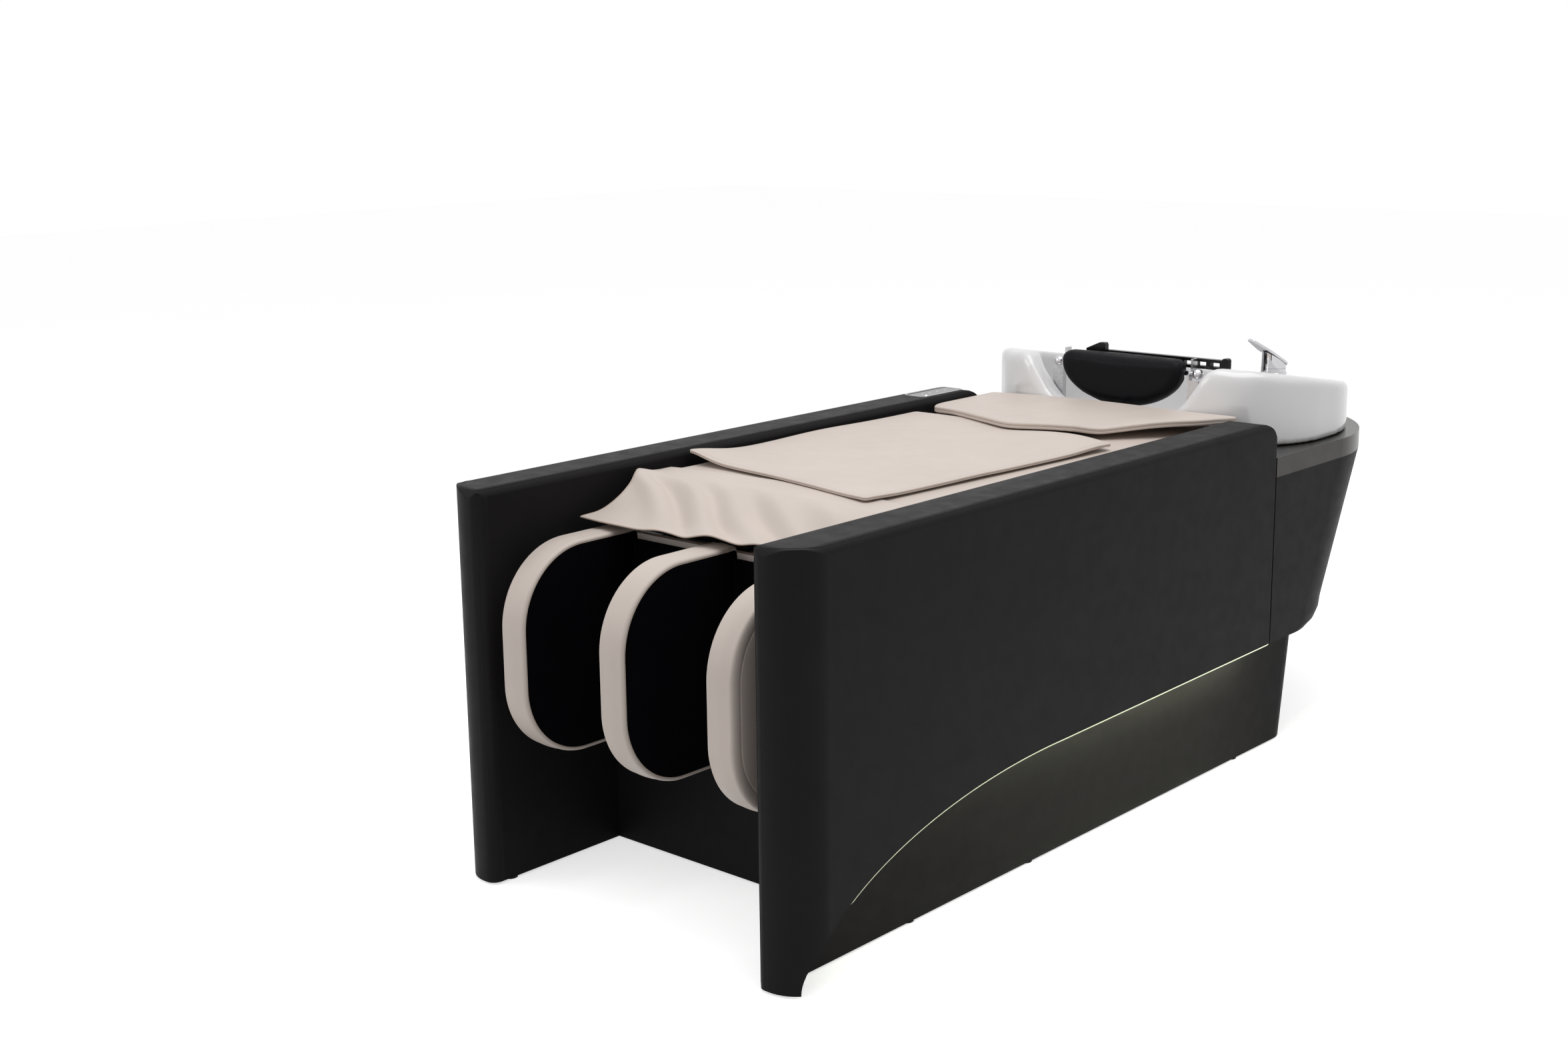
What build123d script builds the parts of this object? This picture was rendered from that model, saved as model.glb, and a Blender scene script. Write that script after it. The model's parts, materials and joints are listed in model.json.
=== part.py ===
"""Hair washing bed: padded side panels, a ceramic basin with mixer tap, and a lifting calf unit.

Millimetres. X runs across the bed, Y from the foot end at 0 to the head end, and Z up from the floor.
Each piece is moved on export so that the origin is the middle of the footprint.
"""
import os
from math import cos, hypot, radians, sin

from build123d import *

# One overrun serves all cuts, and one small clearance all soft and running fits.
overrun = 20.0
soft_gap = 0.3
running_gap = 0.05

# Side panels
panel_height = 675.5
panel_length = 1355.0
panel_thick = 90.0
inner_width = 596.0
core_thick = 27.0
shell_lip = 24.0
shell_cap = 12.0
front_outer_round = 65.0
front_inner_round = 18.0
front_top_round = 15.0
rear_top_round = 48.0
top_edge_round = 14.0
rear_edge_round = 5.0
glide_height = 4.0
glide_radius = 12.0
inner_half = inner_width / 2
outer_half = inner_half + panel_thick
core_face = inner_half + core_thick

# Sweeping lower edge of the shells: a quarter ellipse, then a gentle climb to the housing
sweep_start = 20.0
sweep_length = 644.0
sweep_rise = 232.0
sweep_climb = 11.0
sweep_crest = sweep_start + sweep_length
housing_bottom = glide_height + sweep_rise + sweep_climb
light_height = 10.0
light_thick = 8.0
light_start = 150.0

# Plinth end and cross panel
core_tail = 85.0
plinth_reach = 256.0
plinth_rake = 38.0
plinth_corner = 70.0
plinth_split = panel_length + core_tail
plinth_rear = panel_length + plinth_reach
cross_front = 288.0
cross_thick = 22.0
cross_top = 500.0
window_half = 45.0
window_sill = 300.0
cross_rear = cross_front + cross_thick

# Deck, housing and basin plan: straight sides, then half an ellipse
deck_top = 607.0
deck_thick = 37.0
deck_straight = 263.0
deck_reach = 337.0
deck_ledge = 20.0
plan_centre = panel_length + deck_straight
overall_length = plan_centre + deck_reach
deck_bottom = deck_top - deck_thick
housing_wall = 18.0
housing_taper = 123.0
housing_foot_reach = 300.0
housing_foot_round = 45.0
service_half = 200.0
service_length = 165.0

# Basin
basin_inset = 26.0
basin_setback = 30.0
basin_corner = 190.0
basin_wall = 14.0
basin_height = 154.0
rim_slope = 0.168
rim_round = 16.0
rim_front = deck_top + basin_height
basin_front = panel_length + basin_setback
basin_half = outer_half - basin_inset
basin_reach = deck_reach - basin_inset
basin_rear = plan_centre + basin_reach
bowl_half = 238.0
bowl_wall_front = 45.0
bowl_reach = 225.0
bowl_corner = 60.0
bowl_drop = 107.0
bowl_straight = 140.0
bowl_skin = 10.0
notch_depth = 113.0
notch_foot_half = 110.0
notch_top_half = 222.0
notch_foot_round = 70.0
notch_top_round = 50.0
bowl_floor = deck_top - bowl_drop
bowl_front = basin_front + bowl_wall_front
notch_sill = rim_front - notch_depth

# Waste
drain_radius = 25.0
drain_lip = 12.0
drain_plate = 3.0
drain_length = 60.0
drain_setback = 190.0
drain_y = bowl_front + drain_setback
strainer_radius = 22.0
strainer_height = 18.0
strainer_hole_count = 8
trap_radius = 38.0
trap_height = 80.0
trap_gap = 5.0
waste_radius = 20.0
waste_wall = 2.5
waste_end = 60.0
waste_spigot = 98.0
waste_y = panel_length + 100.0
waste_bend = 45.0

# Mixer tap
tap_x = 270.0
tap_setback = 160.0
tap_radius = 24.0
tap_base_radius = 26.0
tap_base_height = 4.0
tap_height = 12.0
tap_shank_radius = 16.0
tap_shank_length = 70.0
tap_shank_gap = 1.0
cartridge_height = 18.5
lever_turn = 152.0
lever_rise = 33.0
lever_length = 68.0
lever_back = 29.0
lever_width = 46.0
lever_tip_width = 18.0
lever_thick = 5.0
lever_round = 2.0
lever_gap = 1.0
tail_radius = 5.0
tail_drop = 90.0
tail_bend = 80.0
tail_spacing = 48.0
tail_shift = 8.0
tail_setback = 74.0
nipple_radius = 10.4
nipple_length = 51.0
nipple_flange = 15.0
nipple_flange_thick = 6.0
hinge_back = 27.0
hinge_rise = 1.6
hinge_lug_radius = 2.2
hinge_lug_half = 3.0
hinge_lug_drop = 2.5
hinge_lug_front = 12.0
hinge_pin_radius = 1.2
hinge_pin_half = 9.0
hinge_clearance = 0.4
hinge_swing = 6.5
tap_y = basin_front + tap_setback

# Neck rest
neck_rise = 3.0
neck_half = 143.0
neck_axle_drop = 29.0
neck_drop = 106.0
neck_thick = 44.0
neck_corner = 20.0
neck_edge_round = 15.0
neck_cover = 4.0
axle_radius = 5.0
ball_radius = 11.0
ball_gap = 1.0
bracket_gap = 3.0
bracket_thick = 4.0
bracket_width = 24.0
bracket_reach = 85.0
stop_radius = 7.0
stop_gap = 3.0
bar_gap = 18.0
bar_start = -110.0
bar_end = 218.0
bar_thick = 12.0
bar_height = 20.0
bar_slot = 8.0
bar_slot_count = 9
bar_tab = 14.0
bar_tab_length = 46.0
bar_tab_tip = 14.0
bar_round = 5.0
bar_sink = 5.0
bar_end_rise = 4.0

neck_top = rim_front + neck_rise
neck_z = neck_top - neck_axle_drop
bracket_foot = neck_z - bracket_reach
neck_y = bowl_front + ball_radius + ball_gap
bracket_x = neck_half + bracket_gap
axle_half = bracket_x + bracket_thick + ball_radius + ball_gap
bar_y = neck_y + bar_gap

# Bed
board_thick = 18.0
board_front = 338.0
board_side_gap = 1.0
cushion_front = 345.0
cushion_thick = 49.0
cushion_crown = 8.0
cushion_corner = 18.0
cushion_front_round = 22.0
cushion_rear_round = 6.0
channel_half = 88.0
channel_front = 520.0
channel_setback = 205.0
apron_thick = 3.0
apron_rear = 430.0
apron_lip = 350.0
apron_edge_y = 203.0
apron_edge_z = 596.0
apron_half = 286.0
apron_waist = 266.0
apron_corner_x = 276.0
apron_near_y = 240.0
apron_fold_rise = 7.0
apron_fold_width = 24.0
mat_thick = 6.0
mat_front_far = 475.0
mat_front_near = 385.0
mat_setback = 275.0
mat_far_x = -288.0
mat_near_front_x = 195.0
mat_near_rear_x = 232.0
mat_corner = 8.0
flap_thick = 12.0
flap_half = 290.0
flap_sides = 205.0
flap_front_reach = 185.0
flap_edge_round = 5.0
cushion_top = deck_top + cushion_thick
board_bottom = deck_top - board_thick
mat_lift = apron_thick + 2 * soft_gap
flap_lift = mat_lift + mat_thick + soft_gap
cushion_rear = basin_front - soft_gap
cushion_half = inner_half - board_side_gap
channel_rear = basin_front - channel_setback
mat_rear = basin_front - mat_setback
flap_sides_front = basin_front - flap_sides

# Control panel, set in the top of the left side panel
control_setback = 105.0
control_length = 136.0
control_width = 56.0
control_depth = 7.0
control_frame = 4.0
control_round = 12.0
control_rise = 1.0
control_x = -(inner_half + panel_thick / 2)
control_y = panel_length - control_setback

# Base frame
tube_width = 30.0
tube_height = 40.0
tube_wall = 2.0
frame_front = 322.0
frame_end_gap = 10.0
low_rail_bottom = 10.0
mid_bar_bottom = 350.0
rail_face = inner_half - tube_width
low_rail_top = low_rail_bottom + tube_height
frame_rear = panel_length - frame_end_gap
shelf_setback = 85.0
shelf_length = 380.0
shelf_thick = 12.0
shelf_rear = frame_rear - shelf_setback
shelf_front = shelf_rear - shelf_length

# Calf unit
pivot_y = 300.0
pivot_z = 560.0
hinge_radius = 10.0
sleeve_radius = 15.0
sleeve_length = 40.0
fin_width = 54.0
fin_pitch = 229.0
fin_front = 3.0
fin_back = 262.0
fin_bottom = 228.0
fin_top = 587.0
fin_top_round = 135.0
fin_bottom_round = 130.0
fin_back_round = 6.0
fin_edge_round = 10.0
lining_thick = 5.0
lining_inset = 8.0
back_pad_thick = 12.0
back_board_thick = 13.0
back_board_margin = 12.0
arm_x = 150.0
arm_thick = 8.0
arm_drop = 60.0
bracket_plate = 10.0
bracket_drop = 25.0
back_face = fin_back + back_board_thick

# Lift actuator, between the calf unit's lug and a crossbar
lug_reach = 110.0
lug_slot = 22.0
lug_half = 17.0
lug_round = 16.0
lug_thick = 12.0
slot_half = 9.6
lift_y = 600.0
lift_z = 370.0
lift_foot = 40.0
lift_pin_radius = 5.0
fork_gap = 1.0
fork_thick = 6.0
fork_half = 12.0
fork_length = 54.0
lift_tube_radius = 20.0
lift_tube_start = 16.0
lift_tube_end = 242.0
lift_rod_radius = 9.0
lift_rod_start = 70.0
lift_bore_start = 60.0
lift_motor_radius = 26.0
lift_motor_length = 104.0
lift_motor_drop = 52.0
lift_gear_length = 44.0
lift_eye_half = 12.0
clevis_gap = 0.5
clevis_thick = 6.0
clevis_half = 18.0
frame_mid = lift_y + lift_foot
lift_reach = hypot(lift_y - pivot_y, lift_z - (pivot_z - lug_reach))

# Massage gear under the bed: rails, a carriage with two roller sets, and the screw it climbs along
massage_rail_x = 96.0
massage_rail_width = 24.0
massage_rail_height = 24.0
massage_rail_wall = 4.0
massage_rail_reach = 20.0
massage_slide_gap = 0.5
carriage_offset = 40.0
carriage_length = 150.0
roller_offset = 35.0
roller_x = 58.0
roller_width = 32.0
roller_radius = 28.0
roller_rise = 37.5
roller_round = 6.0
roller_axle_radius = 6.0
roller_axle_end = 3.0
ear_gap = 4.0
ear_thick = 5.0
ear_half = 12.0
screw_radius = 6.0
screw_drop = 14.0
screw_block_half = 18.0
screw_block_length = 16.0
nut_length = 40.0
massage_motor_x = -60.0
massage_motor_radius = 22.0
massage_motor_drop = 24.0
massage_motor_length = 100.0
massage_motor_saddle = 10.0
massage_front = channel_front - massage_rail_reach
massage_rear = channel_rear + massage_rail_reach
massage_rail_low = board_bottom - massage_rail_height
carriage_low = massage_rail_low + massage_rail_wall + massage_slide_gap
carriage_top = board_bottom - massage_rail_wall - massage_slide_gap
carriage_front = channel_front + carriage_offset
carriage_rear = carriage_front + carriage_length
roller_z = carriage_top + roller_rise
screw_z = carriage_low - screw_drop

# Air pump and power box on the shelf
pump_size = (150.0, 190.0, 96.0)
pump_port_radius = 6.0
pump_port_length = 18.0
power_size = (120.0, 190.0, 62.0)
box_round = 8.0
box_offset = 150.0


def block(x, y, z):
    """A box between three pairs of limits."""
    corner = Pos(x[0], y[0], z[0])
    return corner * Box(x[1] - x[0], y[1] - y[0], z[1] - z[0], align=(Align.MIN,) * 3)


def mirrored(x):
    """A pair of limits that reach the same way either side of the middle."""
    return (-x, x)


def outline(points, radii):
    """A face inside a closed outline whose corners are rounded."""
    return make_face(FilletPolyline(*points, radius=radii, close=True))


def corners(a, b):
    """The four corners of a rectangle, from its limits along the two axes of a plane."""
    return [(a[0], b[0]), (a[1], b[0]), (a[1], b[1]), (a[0], b[1])]


def along_x(face, x):
    """A face drawn in Y and Z, given depth between two places across the bed."""
    return Pos(x[0], 0, 0) * extrude(Plane.YZ * face, x[1] - x[0])


def along_y(face, y):
    """A face drawn in X and Z, given depth between two places along the bed."""
    return Pos(0, y[0], 0) * extrude(Plane.XZ * face, -(y[1] - y[0]))


def along_z(face, z):
    """A face drawn in plan, given height between two levels."""
    return Pos(0, 0, z[0]) * extrude(face, z[1] - z[0])


def bar(start, end, radius):
    """A round bar between two points."""
    run = Vector(*end) - Vector(*start)
    return Plane(origin=start, z_dir=run) * Cylinder(
        radius, run.length, align=(Align.CENTER, Align.CENTER, Align.MIN)
    )


def box_tube(x, y, z, way):
    """A square steel tube with open ends, whose length runs along one axis."""
    inner = []
    for axis, limits in enumerate((x, y, z)):
        wall = -overrun if axis == way else tube_wall
        inner.append((limits[0] + wall, limits[1] - wall))
    return block(x, y, z) - block(*inner)


def other_side(shape):
    """The same piece on the other side of the bed."""
    return mirror(shape, about=Plane.YZ)


def both_sides(shape):
    """A piece and its mirror image, as two solids of one group."""
    return [shape, other_side(shape)]


def d_plan(half, front, centre, reach):
    """A plan with a straight front and sides that ends in half an ellipse."""
    sides = Polyline((-half, centre), (-half, front), (half, front), (half, centre))
    return make_face(sides + EllipticalCenterArc((0, centre), half, reach, 0, arc_size=180))


def rounded_d_plan(half, front, centre, reach, corner):
    """The same plan with its two front corners rounded."""
    face = d_plan(half, front, centre, reach)
    return fillet(face.vertices().sort_by(Axis.Y)[:2], corner)


def sweep_region(drop):
    """The space under the sweeping edge, lowered by a drop, as a face in Y and Z."""
    crest = glide_height + sweep_rise
    curve = EllipticalCenterArc(
        (sweep_crest, glide_height - drop), sweep_length, sweep_rise, 90, arc_size=90
    )
    edge = Polyline(
        (sweep_crest, crest - drop),
        (panel_length, housing_bottom - drop),
        (plinth_rear, housing_bottom - drop),
        (plinth_rear, -overrun - drop),
        (sweep_start, -overrun - drop),
        (sweep_start, glide_height - drop),
    )
    return make_face(curve + edge)


def core_board():
    """The upright board behind a side shell, which reaches the floor glides."""
    top = panel_height - shell_cap
    shape = Polyline(
        (shell_lip, glide_height),
        (plinth_split, glide_height),
        (plinth_split, housing_bottom),
        (panel_length - shell_lip, housing_bottom),
        (panel_length - shell_lip, top),
        (shell_lip, top),
        close=True,
    )
    return along_x(make_face(shape), (inner_half, core_face))


def side_shell():
    """The padded shell: rounded in plan and in both elevations, scooped out below its sweep."""
    plan = outline(
        corners((inner_half, outer_half), (0, panel_length)),
        [front_inner_round, front_outer_round, rear_edge_round, rear_edge_round],
    )
    front = outline(
        corners((inner_half, outer_half), (glide_height, panel_height)),
        [0, 0, top_edge_round, top_edge_round],
    )
    side = outline(
        corners((0, panel_length), (glide_height, panel_height)),
        [0, 0, rear_top_round, front_top_round],
    )
    shell = along_z(plan, (glide_height, panel_height))
    shell = shell & along_y(front, (0, panel_length)) & along_x(side, (inner_half, outer_half))
    scoop = along_x(sweep_region(0), (core_face, outer_half + overrun))
    return shell - scoop - core_board()


def control_pocket():
    """The shallow recess for the control panel in the top of a side panel."""
    face = RectangleRounded(
        control_width + 2 * soft_gap, control_length + 2 * soft_gap, control_round + soft_gap
    )
    return Pos(control_x, control_y, panel_height - control_depth) * extrude(
        face, control_depth + overrun
    )


def control_bezel():
    """The metal frame round the control glass."""
    outer = RectangleRounded(control_width, control_length, control_round)
    inner = RectangleRounded(
        control_width - 2 * control_frame,
        control_length - 2 * control_frame,
        control_round - control_frame,
    )
    floor = extrude(outer, control_frame)
    wall = extrude(outer - inner, control_depth + control_rise)
    return Pos(control_x, control_y, panel_height - control_depth) * (floor + wall)


def control_glass():
    """The dark glass plate that lies in the bezel."""
    edge = control_frame + running_gap
    face = RectangleRounded(
        control_width - 2 * edge, control_length - 2 * edge, control_round - edge
    )
    thick = control_depth - control_frame
    return Pos(control_x, control_y, panel_height - thick) * extrude(face, thick)


def light_strip():
    """The glowing strip that follows the sweep, tucked under the shell on the core board."""
    band = sweep_region(0) - sweep_region(light_height)
    reach = (light_start, plinth_rear - plinth_corner)
    limits = along_x(
        make_face(Polyline(*corners(reach, (glide_height, housing_bottom)), close=True)),
        (core_face, core_face + light_thick),
    )
    return along_x(band, (core_face, core_face + light_thick)) & limits


def cross_panel():
    """The board behind the calf unit, with a window for the lift rod."""
    board = block(mirrored(inner_half), (cross_front, cross_rear), (glide_height, cross_top))
    window = block(
        mirrored(window_half),
        (cross_front - overrun, cross_rear + overrun),
        (window_sill, cross_top + overrun),
    )
    return board - window


def plinth_plan(face, rear):
    """The plan of the plinth end: two straight sides and rounded rear corners."""
    corner = plinth_corner - (core_face - face)
    return outline(corners(mirrored(face), (plinth_split, rear)), [0, 0, corner, corner])


def plinth_body(face, inset):
    """The plinth end filled in, raked so that it is shorter at the floor."""
    low = plinth_plan(face, plinth_rear - plinth_rake - inset)
    high = plinth_plan(face, plinth_rear - inset)
    return loft([Pos(0, 0, glide_height) * low, Pos(0, 0, housing_bottom) * high], ruled=True)


def plinth_end():
    """The curved board that closes the plinth under the housing."""
    inner = plinth_body(inner_half, core_thick)
    return plinth_body(core_face, 0) - inner


def floor_glides():
    """Low round glides under the core boards and the plinth end."""
    edge = inner_half + core_thick / 2
    rows = [shell_lip + 2 * glide_radius, sweep_crest, panel_length / 4, panel_length]
    glides = [
        Pos(side * edge, y, 0)
        * Cylinder(glide_radius, glide_height, align=(Align.CENTER, Align.CENTER, Align.MIN))
        for side in (-1, 1)
        for y in rows
    ]
    rear = plinth_rear - plinth_rake - core_thick / 2
    for side in (-1, 1):
        glides.append(
            Pos(side * inner_half / 2, rear, 0)
            * Cylinder(glide_radius, glide_height, align=(Align.CENTER, Align.CENTER, Align.MIN))
        )
    return glides


def housing_body(inset):
    """The basin housing filled in: its plan shrinks and moves forward towards the bottom."""
    lift = housing_foot_round
    full_centre = plan_centre - housing_taper
    rounding_shares = [(0, 1), (0.2, 0.42), (0.55, 0.1), (1, 0)]
    sections = []
    for height_share, cut_share in rounding_shares:
        centre = full_centre - cut_share * lift
        reach = housing_foot_reach - cut_share * lift / 2
        level = housing_bottom + height_share * lift
        plan = d_plan(outer_half - inset, panel_length, centre, reach - inset)
        sections.append(Pos(0, 0, level) * plan)
    top = d_plan(outer_half - inset, panel_length, plan_centre, deck_reach - inset)
    sections.append(Pos(0, 0, deck_bottom) * top)
    return loft(sections, ruled=True)


def housing():
    """The tapered casing under the basin, open to the bed's inside and over the plinth."""
    inner = Pos(0, 0, housing_wall) * housing_body(housing_wall)
    inner = inner + Pos(0, 0, -housing_wall) * (inner & block(
        mirrored(outer_half), (panel_length, overall_length), (deck_bottom, deck_top)
    ))
    front = block(
        mirrored(inner_half),
        (panel_length - overrun, panel_length + housing_wall),
        (housing_bottom + housing_wall, deck_bottom),
    )
    service = block(
        mirrored(service_half),
        (panel_length - overrun, panel_length + service_length),
        (housing_bottom - overrun, housing_bottom + housing_wall + overrun),
    )
    shell = housing_body(0) - inner - front - service
    for pipe in supply_places():
        hole = Pos(pipe[0], pipe[1], housing_bottom) * Cylinder(
            nipple_radius + running_gap, 4 * housing_wall
        )
        shell = shell - hole
    return shell


def deck():
    """The metal-faced deck that carries the basin, with its cut-out."""
    plate = along_z(
        d_plan(outer_half, panel_length, plan_centre, deck_reach), (deck_bottom, deck_top)
    )
    ledge = basin_inset + deck_ledge
    hole = rounded_d_plan(
        outer_half - ledge,
        basin_front + deck_ledge,
        plan_centre,
        deck_reach - ledge,
        basin_corner - deck_ledge,
    )
    return plate - along_z(hole, (deck_bottom - overrun, deck_top + overrun))


def rim_level(y):
    """The height of the basin's rim at a place along the bed."""
    return rim_front - rim_slope * (y - basin_front)


def under_rim(drop):
    """The space below the sloping rim plane, lowered by a drop."""
    front, rear = basin_front - overrun, basin_rear + overrun
    face = Polyline(
        (front, 0), (rear, 0), (rear, rim_level(rear) - drop), (front, rim_level(front) - drop),
        close=True,
    )
    return along_x(make_face(face), mirrored(outer_half))


def bowl_form(skin):
    """The bowl filled in, grown outward by a skin."""
    bowl_shares = [
        (0, 0.46), (0.02, 0.56), (0.06, 0.66), (0.13, 0.77), (0.25, 0.87), (0.42, 0.94),
        (0.68, 0.985), (1, 1),
    ]
    top = bowl_floor + bowl_straight
    middle = (bowl_front + plan_centre + bowl_reach) / 2
    sections = []
    for height_share, plan_share in bowl_shares:
        half = bowl_half * plan_share + skin
        front = middle - (middle - bowl_front) * plan_share - skin
        rear = middle + (plan_centre + bowl_reach - middle) * plan_share + skin
        centre = middle + (plan_centre - middle) * plan_share
        plan = rounded_d_plan(half, front, centre, rear - centre, bowl_corner)
        level = bowl_floor - skin + (bowl_straight + skin) * height_share
        sections.append(Pos(0, 0, level) * plan)
    lower = loft(sections)
    plan = rounded_d_plan(
        bowl_half + skin, bowl_front - skin, plan_centre, bowl_reach + skin, bowl_corner
    )
    return lower + along_z(plan, (top, rim_front + overrun))


def neck_notch():
    """The smooth dip in the basin's front wall where the neck lies."""
    top = rim_front
    side = inner_half
    points = [
        (-side, top + overrun), (-side, top), (-notch_top_half, top), (-notch_foot_half, notch_sill),
        (notch_foot_half, notch_sill), (notch_top_half, top), (side, top), (side, top + overrun),
    ]
    radii = [0, 0, notch_top_round, notch_foot_round, notch_foot_round, notch_top_round, 0, 0]
    return along_y(outline(points, radii), (basin_front - overrun, bowl_front + overrun))


def basin():
    """The ceramic basin: skirt, sloping rim, bowl, neck notch, tap hole and drain hole."""
    skirt_plan = rounded_d_plan(basin_half, basin_front, plan_centre, basin_reach, basin_corner)
    skirt = along_z(skirt_plan, (deck_top, rim_front + overrun)) & under_rim(0)
    rim_edges = skirt.faces().sort_by(Axis.Z)[-1].edges()
    skirt = fillet(rim_edges, rim_round)
    hollow_plan = rounded_d_plan(
        basin_half - basin_wall,
        basin_front + basin_wall,
        plan_centre,
        basin_reach - basin_wall,
        basin_corner - basin_wall,
    )
    hollow = along_z(hollow_plan, (deck_top - overrun, rim_front)) & under_rim(basin_wall) & block(
        mirrored(outer_half), (bowl_front + overrun, overall_length), (0, rim_front)
    )
    body = skirt - (hollow - bowl_form(bowl_skin))
    below = bowl_form(bowl_skin) & block(
        mirrored(outer_half), (basin_front, overall_length), (0, deck_top)
    )
    body = body + below - bowl_form(0) - neck_notch()
    drain = Pos(0, drain_y, bowl_floor) * Cylinder(drain_radius, 4 * bowl_skin)
    tap_hole = Pos(tap_x, tap_y, rim_level(tap_y)) * Cylinder(
        tap_shank_radius + tap_shank_gap, 4 * basin_wall
    )
    return body - drain - tap_hole


def drain_flange():
    """The flanged waste fitting in the floor of the bowl."""
    plate = bar((0, drain_y, bowl_floor), (0, drain_y, bowl_floor + drain_plate),
                drain_radius + drain_lip)
    stem = bar((0, drain_y, bowl_floor - drain_length), (0, drain_y, bowl_floor),
               drain_radius - running_gap)
    nut_top = bowl_floor - bowl_skin
    nut = bar((0, drain_y, nut_top - drain_lip), (0, drain_y, nut_top), drain_radius + drain_lip)
    bore = bar((0, drain_y, bowl_floor - drain_length - overrun),
               (0, drain_y, bowl_floor + overrun), strainer_radius + running_gap)
    return plate + stem + nut - bore


def strainer():
    """The lift-out hair strainer: a slotted cup with a rim and a knob."""
    rim_top = bowl_floor + 2 * drain_plate
    rim = bar((0, drain_y, rim_top - drain_plate), (0, drain_y, rim_top),
              strainer_radius + drain_lip / 2)
    cup = bar((0, drain_y, rim_top - strainer_height), (0, drain_y, rim_top), strainer_radius)
    hollow = bar((0, drain_y, rim_top - strainer_height + drain_plate),
                 (0, drain_y, rim_top + overrun), strainer_radius - drain_plate)
    knob = bar((0, drain_y, rim_top - strainer_height), (0, drain_y, rim_top + drain_plate),
               drain_plate)
    body = rim + cup - hollow + knob
    ring = (strainer_radius + drain_plate) / 2
    for turn in range(strainer_hole_count):
        angle = radians(360 / strainer_hole_count * turn)
        spot = Pos(ring * cos(angle), drain_y + ring * sin(angle), rim_top - strainer_height)
        body = body - spot * Cylinder(drain_plate / 2, 4 * drain_plate)
    return body


def waste_trap():
    """The bottle trap under the bowl and the outlet pipe that turns down into the plinth."""
    top = bowl_floor - drain_length
    base = housing_bottom + housing_wall + trap_gap
    inlet = bar((0, drain_y, base + trap_height), (0, drain_y, top), waste_radius)
    nut = bar((0, drain_y, top - drain_lip), (0, drain_y, top), drain_radius + drain_lip / 2)
    throat = bar((0, drain_y, base + trap_height / 2), (0, drain_y, top + overrun),
                 waste_radius - waste_wall)
    bottle = bar((0, drain_y, base), (0, drain_y, base + trap_height), trap_radius)
    collar = bar((0, drain_y, base + trap_height), (0, drain_y, base + trap_height + drain_lip),
                 waste_radius + waste_wall * 2)
    outlet = base + trap_height - waste_radius - waste_wall
    route = FilletPolyline(
        (0, drain_y, outlet), (0, waste_y, outlet), (0, waste_y, waste_end), radius=waste_bend
    )
    pipe = sweep(Plane(origin=(0, drain_y, outlet), z_dir=(0, -1, 0)) * Circle(waste_radius), route)
    bore = bar((0, waste_y, waste_end - overrun), (0, waste_y, waste_end + trap_height),
               waste_radius - waste_wall)
    spigot_top = waste_end + waste_spigot
    socket = bar((0, waste_y, spigot_top), (0, waste_y, spigot_top + drain_lip),
                 waste_radius + waste_wall * 2)
    return inlet + nut + collar + bottle + pipe + socket - bore - throat


def supply_places():
    """Where the hot and cold supplies pass through the housing floor, the rear one first."""
    middle = tap_y - tail_setback
    return [(tap_x - tail_shift, middle + side * tail_spacing / 2) for side in (1, -1)]


def supply_tails():
    """Two rigid supply tails from the tap shank down to the threaded inlet nipples."""
    tails = []
    top = rim_level(tap_y) - tap_shank_length
    floor = housing_bottom + housing_wall
    for (x, y), side in zip(supply_places(), (1, -1)):
        under = tap_y + side * (tail_radius + tap_shank_gap)
        route = FilletPolyline(
            (tap_x, under, top), (tap_x, under, top - tail_drop), (x, y, top - 2 * tail_drop),
            (x, y, floor), radius=tail_bend,
        )
        tube = sweep(Plane(origin=(tap_x, under, top), z_dir=(0, 0, -1)) * Circle(tail_radius), route)
        nipple = bar((x, y, floor + nipple_flange_thick - nipple_length),
                     (x, y, floor + nipple_flange_thick), nipple_radius)
        flange = bar((x, y, floor), (x, y, floor + nipple_flange_thick), nipple_flange)
        nut = bar((x, y, housing_bottom - nipple_flange_thick), (x, y, housing_bottom), nipple_flange)
        tails.append(tube + nipple + flange + nut)
    return tails


def tap_body():
    """The mixer body standing on the rim, with its base ring, shank and clamping nut."""
    deck_z = rim_level(tap_y)
    spot = (tap_x, tap_y, deck_z - tap_base_radius)
    base = bar(spot, (tap_x, tap_y, deck_z + tap_base_height), tap_base_radius)
    column = bar(spot, (tap_x, tap_y, deck_z + tap_height), tap_radius)
    above = fillet(base.edges().group_by(Axis.Z)[-1], tap_base_height / 2) + column
    above = above - under_rim(0)
    shank = bar((tap_x, tap_y, deck_z - tap_shank_length), (tap_x, tap_y, deck_z + tap_base_height),
                tap_shank_radius)
    nut_top = deck_z - basin_wall - rim_slope * tap_base_radius - soft_gap
    nut = bar((tap_x, tap_y, nut_top - 2 * tap_base_height), (tap_x, tap_y, nut_top),
              tap_base_radius - tap_base_height)
    return above + shank + nut


def lever_frame():
    """The tap lever's own frame: Y towards its tip, Z up, on the cartridge's sloping top."""
    top = rim_level(tap_y) + tap_height + cartridge_height
    return Pos(tap_x, tap_y, top) * Rot(0, 0, lever_turn) * Rot(lever_rise, 0, 0)


def lever_hinge(half, radius):
    """A round bar on the lever's hinge axis, in the lever's own frame."""
    return bar((-half, -hinge_back, hinge_rise), (half, -hinge_back, hinge_rise), radius)


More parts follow.
